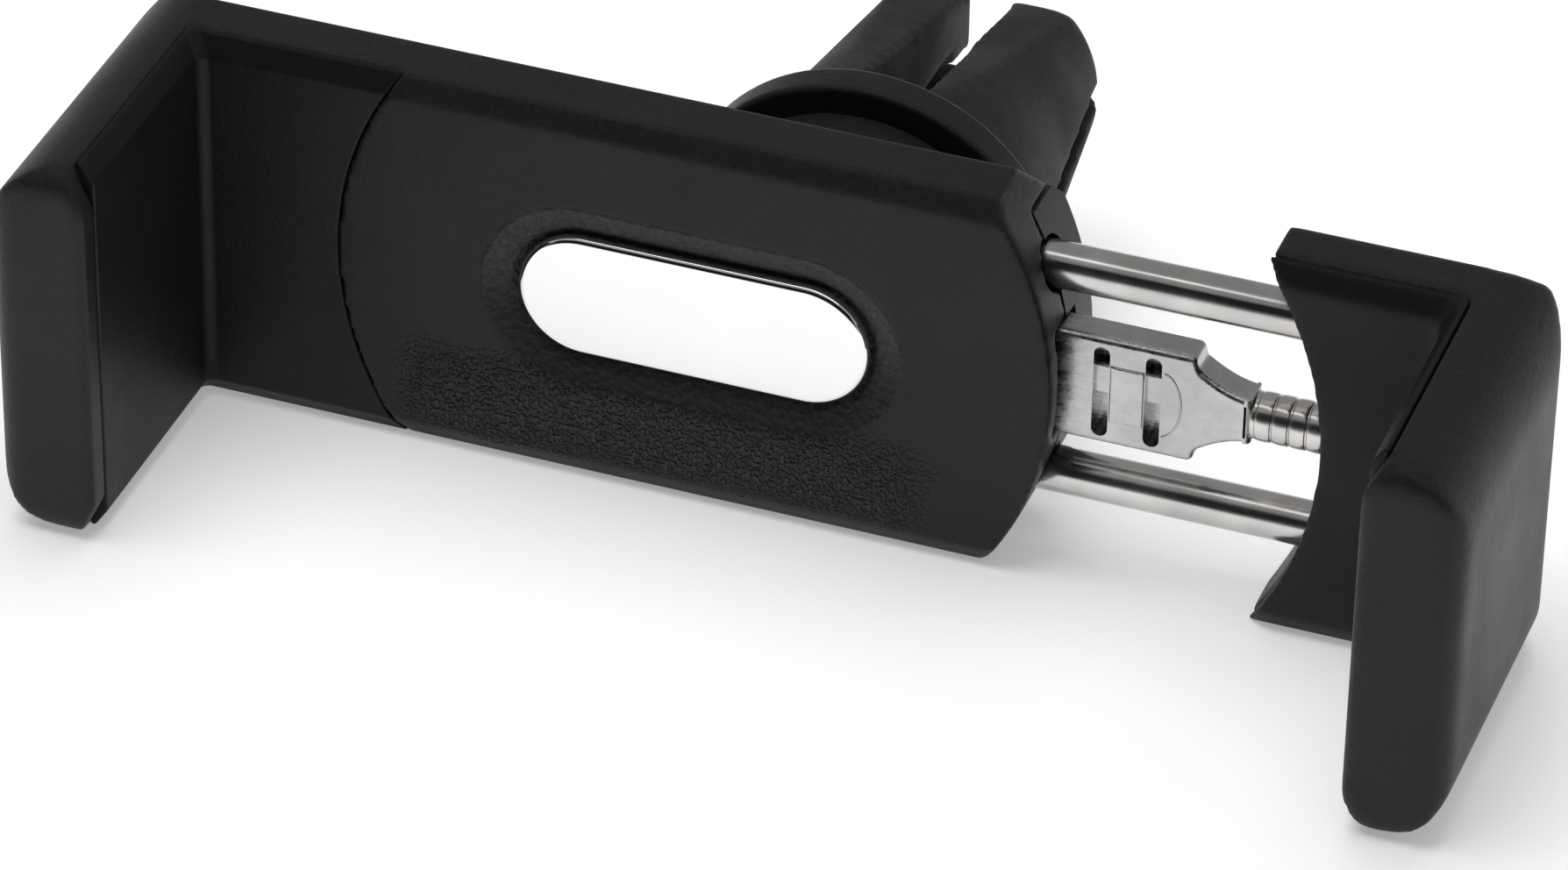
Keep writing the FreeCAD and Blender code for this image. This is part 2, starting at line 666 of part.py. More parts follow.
def moving_jaw_shell():
    """Right jaw and its back plate, stepped for the lining, bored for the rods and the stud."""
    body = new_body("moving_jaw_shell", (0, 0, MID))
    prism(body, "plan", "Z", -MID, MID, [[
        (MOVING_INNER, -REACH), (MOVING_OUTER, -REACH, size("nose_radius")),
        (MOVING_OUTER, DEPTH, size("heel_radius")), (MOVING_MID, DEPTH), (MOVING_MID, PAD_WALL),
        (MOVING_INNER + PAD_WALL, PAD_WALL), (MOVING_INNER + PAD_WALL, PAD_FRONT), (MOVING_INNER, PAD_FRONT),
    ]])
    trim_moving_edge(body, 0.0, DEPTH + 1.0)
    shape_jaw(body, MOVING_INNER, MOVING_OUTER, 1)
    prism(body, "upper_chamfer", "X", MOVING_MID, MOVING_OUTER + 1.0, [back_edge(1)], cut=True)
    prism(body, "lower_chamfer", "X", MOVING_MID, MOVING_INNER, [back_edge(-1)], cut=True)
    prism(body, "rod_bores", "X", MOVING_MID, ROD_END, circles=rod_circles(ROD_RADIUS), cut=True)
    prism(body, "stud_bore", "X", MOVING_MID, MOVING_EDGE + size("stud_seat"),
          circles=[((stud_depth(), 0), size("stud_diameter") / 2)], cut=True)
    start, end, half = jaw_cover_box()
    prism(body, "cover_seat", "Y", COVER_INNER, DEPTH + 1.0, [[
        (start - GAP, -half - GAP, 1.0), (end + GAP, -half - GAP, 1.0),
        (end + GAP, half + GAP, 1.0), (start - GAP, half + GAP, 1.0)]], cut=True)
    prism(body, "screw_pilots", "Y", COVER_INNER - size("screw_length"), COVER_INNER + 1.0,
          circles=[(at, size("screw_core") / 2) for at in jaw_screw_places()], cut=True)
    return body


def stud_depth():
    return LINK_FRONT + size("link_depth") / 2


def jaw_cover_box():
    start = MOVING_EDGE + size("jaw_cover_start")
    return start, start + size("jaw_cover_width"), size("jaw_cover_half")


def jaw_screw_places():
    start, end, _ = jaw_cover_box()
    z = size("jaw_screw_z")
    return [((start + end) / 2, z), ((start + end) / 2, -z)]


def moving_jaw_cover():
    """Flush cover over the rods' ends, with two countersunk holes."""
    body = new_body("moving_jaw_cover", (0, 0, MID))
    start, end, half = jaw_cover_box()
    prism(body, "plate", "Y", COVER_INNER, DEPTH, [[
        (start, -half, 1.0), (end, -half, 1.0), (end, half, 1.0), (start, half, 1.0)]])
    prism(body, "screw_holes", "Y", COVER_INNER, DEPTH,
          circles=[(at, size("screw_core") / 2 + GAP) for at in jaw_screw_places()], cut=True)
    prism(body, "screw_sinks", "Y", DEPTH - size("screw_sink"), DEPTH,
          circles=[(at, size("screw_head") / 2 + GAP) for at in jaw_screw_places()], cut=True)
    return body


def guide_rod(label, up):
    """Bright rod, pressed into the moving jaw."""
    body = new_body(label, (0, ROD_DEPTH, MID + ROD_Z * up))
    turned(body, "rod", "X", [
        (ROD_START, as_size(0)), (ROD_START, ROD_RADIUS), (ROD_END, ROD_RADIUS), (ROD_END, as_size(0))])
    return body


def rod_bushing(label, up):
    body = new_body(label, (0, ROD_DEPTH, MID + ROD_Z * up))
    outer, inner = size("bushing_diameter") / 2, ROD_RADIUS + size("rod_play")
    last = END_WALL + size("bushing_length")
    turned(body, "bushing", "X", [(END_WALL, inner), (END_WALL, outer), (last, outer), (last, inner)])
    return body


def rod_stop_clips():
    """A ring near each rod's inner end; it meets the bushing when the jaw is pulled right out."""
    rings = []
    first = ROD_START + size("stop_place")
    last = first + size("stop_length")
    for name, up in (("upper", 1), ("lower", -1)):
        body = new_body(f"stop_{name}", (0, ROD_DEPTH, MID + ROD_Z * up), node=False)
        outer = size("stop_diameter") / 2
        turned(body, "ring", "X", [(first, ROD_RADIUS), (first, outer), (last, outer), (last, ROD_RADIUS)])
        rings.append(body)
    return group("rod_stop_clips", rings)


def group(label, members):
    """Several like solids kept together as one piece of the list."""
    compound = DOC.addObject("Part::Compound", label)
    compound.Label = label
    compound.Links = members
    NODES.append(compound)
    return compound


def link_profile():
    """The link seen from the front: straight sides, short drops, then slopes down to the neck."""
    neck, taper = size("stud_diameter") / 2, size("link_taper")
    shoulder = LINK_END - taper
    drop = (LINK_HALF - neck) * 0.4
    right = [(shoulder, LINK_HALF), (shoulder + taper * 0.08, LINK_HALF - drop),
             (shoulder + taper * 0.55, neck + drop * 0.4), (LINK_END, neck)]
    return [(LINK_START, LINK_HALF), *right, *[(x, -z) for x, z in reversed(right)], (LINK_START, -LINK_HALF)]


def draw_link():
    """Folded box that slides into the housing: two slots, a raised strap, a narrowed end."""
    body = new_body("draw_link", (0, 0, MID))
    sheet = size("link_sheet")
    prism(body, "blank", "Y", LINK_FRONT, LINK_BACK, [link_profile()])
    inside = LINK_HALF - sheet
    shoulder = LINK_END - size("link_taper")
    prism(body, "inside", "X", LINK_START - 1.0, shoulder, [[
        (LINK_FRONT + sheet, -inside), (LINK_BACK - sheet, -inside),
        (LINK_BACK - sheet, inside), (LINK_FRONT + sheet, inside)]], cut=True)
    second = LINK_END - size("slot_back")
    first = second - size("slot_step")
    long, wide = size("slot_length"), size("slot_width")
    slots = [stadium((place, 0), long, wide, upright=True) for place in (first, second)]
    prism(body, "slots", "Y", LINK_FRONT - 1.0, LINK_FRONT + sheet, slots, cut=True)
    low = size("tab_lift") - size("tab_height") / 2
    high = low + size("tab_height")
    prism(body, "tab", "Y", LINK_FRONT + sheet, LINK_FRONT + sheet * 1.6, [[
        (first - wide, low), (second + wide * 1.6, low),
        (second + wide * 1.6, high), (first - wide, high)]])
    rise, end = size("strap_rise"), long / 2 - wide / 2
    prism(body, "strap", "Y", LINK_FRONT - rise, LINK_FRONT, [[
        (first + wide / 2, -end), (second - wide / 2, -end),
        (second - wide / 2, end), (first + wide / 2, end)]])
    return body


def link_stud():
    """Turned neck with rings cut round it, from the link's end into the jaw."""
    start = LINK_END
    body = new_body("link_stud", (start, stud_depth(), MID))
    radius = size("stud_diameter") / 2
    last = MOVING_EDGE + size("stud_seat") - start
    floor = radius - size("groove_depth")
    points = [(as_size(0), as_size(0)), (as_size(0), radius)]
    for i in range(3):
        near = size("groove_first") + size("groove_step") * i
        far = near + size("groove_width")
        points += [(near, radius), (near, floor), (far, floor), (far, radius)]
    points += [(last, radius), (last, as_size(0))]
    turned(body, "stud", "X", points)
    return body


def drag_spring():
    """Bent strip under the cover whose free end bears on the inside of the link."""
    body = new_body("drag_spring", (0, 0, MID))
    sheet, foot = size("leaf_sheet"), size("leaf_foot")
    hold = foot + size("leaf_hold")
    high = COVER_INNER - sheet
    knee = size("leaf_bend")
    knee_y = size("boss_back") - size("insert_length") - 0.5
    low = LINK_BACK + size("fit")
    touch = size("leaf_touch")
    half = size("leaf_width") / 2
    prism(body, "strip", "Z", -half, half, [[
        (foot, high), (hold, high), (knee, knee_y - sheet), (touch, low), (touch + 0.7, low + 0.5),
        (touch + 0.5, low + 0.75), (touch, low + sheet), (knee, knee_y), (hold + 0.1, COVER_INNER),
        (foot, COVER_INNER)]])
    return body


def small_screw(name, x, z, back):
    """Small countersunk screw driven towards the phone face, its head flush with the back."""
    body = new_body(name, (x, 0, MID + z), node=False)
    head, core = size("screw_head") / 2, size("screw_core") / 2
    seat = back - size("screw_sink")
    tip = seat - size("screw_length")
    turned(body, "screw", "Y", [
        (tip, as_size(0)), (tip, core * 0.4), (tip + 0.6, core), (seat, core), (seat, head),
        (back - 0.1, head), (back - 0.1, as_size(0))])
    prism(body, "recess", "Y", back - 0.6, back, [[
        (-0.9, -0.2), (-0.2, -0.2), (-0.2, -0.9), (0.2, -0.9), (0.2, -0.2), (0.9, -0.2),
        (0.9, 0.2), (0.2, 0.2), (0.2, 0.9), (-0.2, 0.9), (-0.2, 0.2), (-0.9, 0.2)]], cut=True)
    return body


def screws(label, places, back):
    return group(label, [small_screw(f"{label}_{i}", x, z, back) for i, (x, z) in enumerate(places, 1)])


def pivot_insert():
    body = new_body("pivot_insert", (0, 0, MID))
    back = size("boss_back")
    front = back - size("insert_length")
    outer, bore = size("insert_diameter") / 2, size("screw_diameter") / 2
    turned(body, "insert", "Y", [(front, bore), (front, outer), (back, outer), (back, bore)])
    return body


def friction_ring():
    body = new_body("friction_ring", (0, 0, MID))
    back = size("boss_back")
    inner = size("insert_diameter") / 2 + 0.6
    turned(body, "ring", "Y", [
        (back, inner), (back, size("ring_outer")),
        (back + size("ring_thick"), size("ring_outer")), (back + size("ring_thick"), inner)])
    return body


def clip_collar():
    """Shallow cup that turns on the boss; its rim overhangs with a dark gap in front."""
    body = new_body("clip_collar", (0, 0, MID))
    bore = size("screw_diameter") / 2 + size("pivot_play") + 1.0
    radius = size("collar_radius")
    floor = COLLAR_FRONT + size("collar_web")
    turned(body, "cup", "Y", [
        (COLLAR_FRONT, bore), (COLLAR_FRONT, radius), (COLLAR_BACK, radius),
        (COLLAR_BACK, size("grip_root")), (floor, size("grip_root")), (floor, bore)])
    return body


def clip_core():
    """Rigid core inside the soft clip: a flange in the cup and a stem that takes the screw."""
    body = new_body("clip_core", (0, 0, MID))
    front = COLLAR_FRONT + size("collar_web")
    flange = front + size("flange_thick")
    last = flange + size("core_length")
    bore = size("screw_diameter") / 2 + size("pivot_play")
    seat = front + size("core_web")
    well = size("washer_diameter") / 2 + size("pivot_play")
    turned(body, "core", "Y", [
        (front, bore), (front, size("core_flange")), (flange, size("core_flange")),
        (flange, size("core_stem")), (last, size("core_stem")), (last, well), (seat, well), (seat, bore)])
    return body


def clip_washer():
    body = new_body("clip_washer", (0, 0, MID))
    seat = washer_seat()
    bore, outer = size("screw_diameter") / 2, size("washer_diameter") / 2
    top = seat + size("washer_thick")
    turned(body, "washer", "Y", [(seat, bore), (seat, outer), (top, outer), (top, bore)])
    return body


def washer_seat():
    return COLLAR_FRONT + size("collar_web") + size("core_web") + 0.02


def clip_screw():
    """Pan-head screw through washer, core, collar and ring into the insert."""
    body = new_body("clip_screw", (0, 0, MID))
    radius, head = size("screw_diameter") / 2, size("head_diameter") / 2
    tip = size("boss_back") - size("insert_length") + 0.2
    under = washer_seat() + size("washer_thick")
    top = under + size("head_height")
    turned(body, "screw", "Y", [
        (tip, as_size(0)), (tip, radius - 0.4), (tip + 0.4, radius), (under, radius), (under, head),
        (top - 0.6, head), (top, head - 0.6), (top, as_size(0))])
    arm, half = head * 0.6, 0.35
    prism(body, "recess", "Y", top - 1.2, top, [[
        (-arm, -half), (as_size(-half), -half), (as_size(-half), -arm), (as_size(half), -arm),
        (as_size(half), -half), (arm, -half), (arm, half), (as_size(half), half),
        (as_size(half), arm), (as_size(-half), arm), (as_size(-half), half), (-arm, half)]], cut=True)
    return body


def vent_grip():
    """Soft clip: a cone flattened towards its tip, split into four prongs by crossed slots."""
    body = new_body("vent_grip", (0, 0, MID))
    root = COLLAR_FRONT + size("collar_web") + size("flange_thick")
    rim = COLLAR_BACK
    tip = rim + size("grip_length")
    root_radius, tip_radius = size("grip_root") * 0.95, size("tip_width") / 2
    ease = size("tip_round")
    turned(body, "cone", "Y", [
        (rim, as_size(0)), (rim, root_radius), (tip - ease, tip_radius),
        (tip - ease * 0.35, tip_radius - ease * 0.3), (tip, tip_radius - ease), (tip, as_size(0))])
    flat = size("tip_height") / 2
    prism(body, "flats", "X", -HEIGHT, HEIGHT, [
        [(rim, root_radius * up), (tip, flat * up), (tip + 1.0, flat * up),
         (tip + 1.0, HEIGHT * up), (rim, HEIGHT * up)] for up in (1, -1)], cut=True)
    prism(body, "root", "Y", root, rim, circles=[((0, 0), root_radius * 0.98)])
    prism(body, "stem_bore", "Y", root, root + size("core_length"),
          circles=[((0, 0), size("core_stem"))], cut=True)
    prism(body, "driver_well", "Y", root + size("core_length"), tip - size("well_floor"),
          circles=[((0, 0), size("grip_well") / 2)], cut=True)
    ring = rim + size("grip_ring")
    slot_root, slot_tip = size("slot_root") / 2, size("slot_tip") / 2
    prism(body, "upright_slot", "Z", -HEIGHT, HEIGHT, [[
        (-slot_root, ring), (slot_root, ring), (slot_tip, tip), (slot_tip, tip + 2.0),
        (-slot_tip, tip + 2.0), (-slot_tip, tip)]], cut=True)
    blade = size("blade_slot") / 2
    prism(body, "blade_slot", "X", -HEIGHT, HEIGHT, [[
        (ring, -blade), (tip + 2.0, -blade), (tip + 2.0, blade), (ring, blade)]], cut=True)
    return body


def write_pieces():
    os.makedirs("parts", exist_ok=True)
    for node in NODES:
        node.Shape.exportStep(f"parts/{node.Label}.step")


def main():
    front_housing()
    rear_cover()
    fixed_jaw_pad()
    badge_plate()
    rod_bushing("rod_bushing_upper", 1)
    rod_bushing("rod_bushing_lower", -1)
    drag_spring()
    screws("housing_screws", housing_screw_places(), DEPTH)
    pivot_insert()
    friction_ring()
    clip_screw()
    clip_washer()
    moving_jaw_shell()
    moving_jaw_cover()
    moving_jaw_pad()
    guide_rod("guide_rod_upper", 1)
    guide_rod("guide_rod_lower", -1)
    rod_stop_clips()
    draw_link()
    link_stud()
    screws("jaw_cover_screws", jaw_screw_places(), DEPTH)
    clip_collar()
    clip_core()
    vent_grip()
    DOC.recompute()
    check_document()
    write_pieces()


main()
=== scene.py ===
"""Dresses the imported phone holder: soft-edged shells, grain, bright metal, and a white studio."""

import json
import math

import bmesh
import bpy
from bpy.props import FloatProperty, FloatVectorProperty, IntProperty, PointerProperty
from mathutils import Matrix, Vector


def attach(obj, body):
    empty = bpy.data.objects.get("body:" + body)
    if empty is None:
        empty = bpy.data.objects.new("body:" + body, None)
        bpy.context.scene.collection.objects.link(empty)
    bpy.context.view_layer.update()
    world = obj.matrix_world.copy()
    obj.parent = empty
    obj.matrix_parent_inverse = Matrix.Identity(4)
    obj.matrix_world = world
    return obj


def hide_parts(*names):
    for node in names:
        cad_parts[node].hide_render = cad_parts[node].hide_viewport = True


bl_info = {
    "name": "Phone Holder Looks",
    "version": (1, 0, 0),
    "blender": (4, 5, 0),
    "location": "3D View > Sidebar > Holder",
    "description": "Finishes a vent-mounted phone holder and sets it in a white studio",
    "category": "Object",
}

MM = 0.001
FINISH_ENDING = "_finish"

# Points of a CAD mesh this close are one; faces within this angle are one flat face.
WELD_DISTANCE = 0.5e-6
FLAT_ANGLE = math.radians(0.6)
# Edges sharper than this are rounded; after a cut, edges sharper than the second stay hard.
HARD_EDGE = math.radians(22.0)
CUT_EDGE = math.radians(40.0)
# Forms with well rounded edges: cell of their even skin, and passes that smooth it.
SKINS = {
    "front_housing": (0.31 * MM, 4),
    "moving_jaw_shell": (0.36 * MM, 12),
    "moving_jaw_pad": (0.30 * MM, 14),
    "vent_grip": (0.36 * MM, 8),
}
# Heights of the bumps, and where the coarse crests on the housing's face, with the painted highlight on
# their tops, fade out.
SHELL_GRAIN = 0.060 * MM
FACE_GRAIN = 0.160 * MM
CLIP_GRAIN = 0.050 * MM
RING_GRAIN = 0.010 * MM
SHEET_SCRATCH = 0.020 * MM
CREST_TOP = (10.5 * MM, 6.5 * MM)
CREST_FOOT = (2.6 * MM, 4.6 * MM)
CREST_LEFT = (-26.0 * MM, -18.0 * MM)
CREST_RIGHT = (12.0 * MM, 5.0 * MM)
# Colours of the pieces that hardly show.
BRASS = (0.62, 0.44, 0.17)
SPRING_STEEL = (0.42, 0.42, 0.43)
BLACK_STEEL = (0.035, 0.035, 0.037)
RING_GREY = (0.16, 0.16, 0.16)
# How strongly an axis is followed by the lines of drawn metal.
ROD_LINES = (0.02, 1.0, 1.0)
SHEET_LINES = (0.35, 1.0, 1.0)

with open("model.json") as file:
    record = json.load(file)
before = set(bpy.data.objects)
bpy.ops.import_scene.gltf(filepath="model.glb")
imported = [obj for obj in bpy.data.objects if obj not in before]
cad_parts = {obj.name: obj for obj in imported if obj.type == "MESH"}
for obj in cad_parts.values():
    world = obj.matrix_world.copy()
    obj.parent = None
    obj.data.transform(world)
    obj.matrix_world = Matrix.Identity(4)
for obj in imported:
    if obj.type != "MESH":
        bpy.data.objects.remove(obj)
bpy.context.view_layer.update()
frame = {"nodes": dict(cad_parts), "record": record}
NODES = frame["nodes"]
BODY_OF = {
    node: body for body, nodes in frame["record"]["behaviour"]["bodies"].items() for node in nodes}
SLOT_OF = {entry["node"]: entry["material_slot"] for entry in frame["record"]["subparts"]}


# Sizes and colours

class HolderFinish(bpy.types.PropertyGroup):
    """Edges, colours and grain of the holder."""

    shell_edge: FloatProperty(
        name="Shell edge", description="Rounding of the plastic shells' edges",
        default=0.70 * MM, min=0.0, subtype="DISTANCE", unit="LENGTH")
    lining_edge: FloatProperty(
        name="Lining edge", description="Rounding of the soft linings' edges",
        default=0.35 * MM, min=0.0, subtype="DISTANCE", unit="LENGTH")
    sheet_edge: FloatProperty(
        name="Sheet edge", description="Rounding of the folded link's edges",
        default=0.45 * MM, min=0.0, subtype="DISTANCE", unit="LENGTH")
    shell_colour: FloatVectorProperty(
        name="Shell colour", description="Soft-touch black of housing and jaws",
        default=(0.0088, 0.0088, 0.0092), subtype="COLOR", min=0.0, max=1.0)
    lining_colour: FloatVectorProperty(
        name="Lining colour", description="Black of the soft linings",
        default=(0.0040, 0.0040, 0.0042), subtype="COLOR", min=0.0, max=1.0)
    clip_colour: FloatVectorProperty(
        name="Clip colour", description="Black of the vent clip's rubber",
        default=(0.0105, 0.0105, 0.0109), subtype="COLOR", min=0.0, max=1.0)
    nickel_colour: FloatVectorProperty(
        name="Nickel colour", description="Plated guide rods and stud",
        default=(0.68, 0.665, 0.65), subtype="COLOR", min=0.0, max=1.0)
    zinc_colour: FloatVectorProperty(
        name="Zinc colour", description="Plated sheet of the link",
        default=(0.56, 0.56, 0.55), subtype="COLOR", min=0.0, max=1.0)
    grain_size: FloatProperty(
        name="Grain size", description="Width of one wrinkle of the moulded grain",
        default=0.55 * MM, min=0.05 * MM, subtype="DISTANCE", unit="LENGTH")
    thread_pitch: FloatProperty(
        name="Thread pitch", description="Rise of the thread of a small screw in one turn",
        default=0.45 * MM, min=0.1 * MM, subtype="DISTANCE", unit="LENGTH")
    recess_width: FloatProperty(
        name="Recess width", description="Width of the cross recess in a screw's head",
        default=0.42 * MM, min=0.05 * MM, subtype="DISTANCE", unit="LENGTH")
    badge_shoulder: FloatProperty(
        name="Badge shoulder", description="Width of the rounding round the badge plate's top",
        default=0.50 * MM, min=0.05 * MM, subtype="DISTANCE", unit="LENGTH")
    surround_width: FloatProperty(
        name="Surround width", description="Width of the sloping ring round the badge plate",
        default=2.3 * MM, min=0.0, subtype="DISTANCE", unit="LENGTH")
    link_taper: FloatProperty(
        name="Link taper", description="Length over which the link narrows to its neck",
        default=3.6 * MM, min=0.5 * MM, subtype="DISTANCE", unit="LENGTH")
    slot_back: FloatProperty(
        name="Slot place", description="Second slot's middle, back from the link's end",
        default=6.3 * MM, min=1.0 * MM, subtype="DISTANCE", unit="LENGTH")
    slot_step: FloatProperty(
        name="Slot step", description="Distance between the link's two slots",
        default=3.35 * MM, min=1.0 * MM, subtype="DISTANCE", unit="LENGTH")
    slot_length: FloatProperty(
        name="Slot length", description="Length of the link's slots",
        default=6.6 * MM, min=1.0 * MM, subtype="DISTANCE", unit="LENGTH")
    slot_width: FloatProperty(
        name="Slot width", description="Width of the link's slots",
        default=1.05 * MM, min=0.2 * MM, subtype="DISTANCE", unit="LENGTH")
    neck_rings: IntProperty(
        name="Neck rings", description="Raised rings round the link's neck",
        default=4, min=1, max=12)
    shell_gloss: FloatProperty(
        name="Shell gloss", description="Specular level of the soft-touch black",
        default=0.27, min=0.0, max=1.0)


class StudioSettings(bpy.types.PropertyGroup):
    """Camera and lights of the white studio."""

    azimuth: FloatProperty(
        name="Azimuth", description="Camera's turn round the object",
        default=math.radians(19.56), subtype="ANGLE", unit="ROTATION")
    elevation: FloatProperty(
        name="Elevation", description="Camera's height angle",
        default=math.radians(34.88), subtype="ANGLE", unit="ROTATION")
    roll: FloatProperty(
        name="Roll", description="Camera's tilt about its own axis",
        default=math.radians(1.04), subtype="ANGLE", unit="ROTATION")
    distance: FloatProperty(
        name="Distance", description="From the camera to its aim",
        default=0.5013, min=0.05, subtype="DISTANCE", unit="LENGTH")
    aim: FloatVectorProperty(
        name="Aim", description="Point at the middle of the picture",
        default=(-0.00102, 0.0, 0.00679), subtype="TRANSLATION", unit="LENGTH")
    lens: FloatProperty(
        name="Lens", description="Focal length on a 36 mm wide sensor",
        default=184.14, min=10.0, subtype="DISTANCE_CAMERA")
    key_power: FloatProperty(
        name="Key power", description="Large soft lamp overhead",
        default=5.2, min=0.0, subtype="POWER")
    strip_power: FloatProperty(
        name="Strip power", description="Narrow lamp that draws the highlights",
        default=0.65, min=0.0, subtype="POWER")
    ambient: FloatProperty(
        name="Ambient", description="Light from all round",
        default=0.30, min=0.0, max=2.0)
    floor_lift: FloatProperty(
        name="Floor lift", description="The floor's own brightness, under every shadow",
        default=0.32, min=0.0, max=1.0)


# Shader expressions

class Value:
    """A socket of a material; arithmetic on it adds the Math nodes."""

    def __init__(self, finish, socket):
        self.finish = finish
        self.socket = socket

    def math(self, operation, *others):
        inputs = dict(enumerate((self, *others)))
        return self.finish.node("ShaderNodeMath", {"operation": operation}, inputs)

    def __add__(self, other):
        return self.math("ADD", other)

    def __mul__(self, other):
        return self.math("MULTIPLY", other)

    def __sub__(self, other):
        return self.math("SUBTRACT", other)

    def band(self, low, high, to_low=0.0, to_high=1.0):
        """Smooth step between two values."""
        settings = {"interpolation_type": "SMOOTHSTEP"}
        inputs = {
            "Value": self, "From Min": low, "From Max": high, "To Min": to_low, "To Max": to_high}
        return self.finish.node("ShaderNodeMapRange", settings, inputs)


class Finish:
    """A material under construction."""

    def __init__(self, name):
        self.material = bpy.data.materials.new(name + FINISH_ENDING)
        self.material.use_nodes = True
        self.tree = self.material.node_tree
        self.tree.nodes.clear()
        self.place = self.node("ShaderNodeTexCoord", {}, {}, "Object")

    def node(self, kind, settings, inputs, output=0):
        """Add a node: its settings first, then the values or links of its sockets."""
        node = self.tree.nodes.new(kind)
        for key, value in settings.items():
            setattr(node, key, value)
        for key, value in inputs.items():
            if isinstance(value, Value):
                self.tree.links.new(value.socket, node.inputs[key])
            else:
                node.inputs[key].default_value = value
        return Value(self, node.outputs[output])

    def mix(self, share, first, second):
        """Blend of two colours by a share from 0 to 1."""
        factor, colour_a, colour_b, colour_out = 0, 6, 7, 2
        inputs = {factor: share, colour_a: first, colour_b: second}
        return self.node("ShaderNodeMix", {"data_type": "RGBA"}, inputs, colour_out)

    def noise(self, scale, detail=2.0, roughness=0.5, at=None):
        inputs = {
            "Vector": at or self.place, "Scale": scale, "Detail": detail, "Roughness": roughness}
        return self.node("ShaderNodeTexNoise", {"noise_dimensions": "3D"}, inputs)

    def stretched(self, factors):
        """Object coordinates scaled along each axis."""
        inputs = {0: self.place, 1: factors}
        return self.node("ShaderNodeVectorMath", {"operation": "MULTIPLY"}, inputs)

    def axis(self, index):
        return self.node("ShaderNodeSeparateXYZ", {}, {0: self.place}, index)

    def away(self, value, level):
        """Distance of a value from a level, to either side."""
        return (value - level).math("ABSOLUTE")

    def facing(self, index):
        """How far the surface looks along an axis, from -1 to 1, whatever the camera does."""
        normal = self.node("ShaderNodeNewGeometry", {}, {}, "Normal")
        return self.node("ShaderNodeSeparateXYZ", {}, {0: normal}, index)

    def cells(self, scale):
        inputs = {"Vector": self.place, "Scale": scale, "Randomness": 0.95}
        return self.node("ShaderNodeTexVoronoi", {"feature": "F1"}, inputs, "Distance")

    def bump(self, height, distance):
        inputs = {"Height": height, "Distance": distance, "Strength": 1.0}
        return self.node("ShaderNodeBump", {}, inputs)

    def done(self, inputs):
        shader = self.node("ShaderNodeBsdfPrincipled", {}, inputs)
        output = self.tree.nodes.new("ShaderNodeOutputMaterial")
        self.tree.links.new(shader.socket, output.inputs["Surface"])
        return self.material


def rgba(colour, factor):
    """A colour made lighter or darker, with full alpha."""
    return (colour[0] * factor, colour[1] * factor, colour[2] * factor, 1.0)


def soft_touch_black(name, colour, settings, grain, roughness):
    """Moulded black: fine wrinkled grain, a few smoother patches, paler worn patches scattered at random.
    """
    finish = Finish(name)
    patch = finish.noise(90.0, 3.0, 0.6)
    wrinkle = finish.cells(1.0 / settings.grain_size)
    crease = finish.noise(2.2 / settings.grain_size, 3.0, 0.65)
    speck = finish.noise(9000.0, 2.0, 0.6)
    strength = patch.band(0.38, 0.66, 0.35, 1.0)
    height = (wrinkle * 0.25 + crease * 0.35) * strength + speck * 0.3
    shade = finish.mix(crease.band(0.3, 0.7), rgba(colour, 0.86), rgba(colour, 1.16))
    worn = finish.noise(260.0, 4.0, 0.7).band(0.52, 0.72)
    return finish.done({
        "Base Color": finish.mix(worn * 0.35, shade, rgba(colour, 1.7)),
        "Roughness": patch.band(0.3, 0.7, roughness - 0.05, roughness + 0.06) + speck * 0.04,
        "Normal": finish.bump(height, grain),
        "Specular IOR Level": settings.shell_gloss,
    })


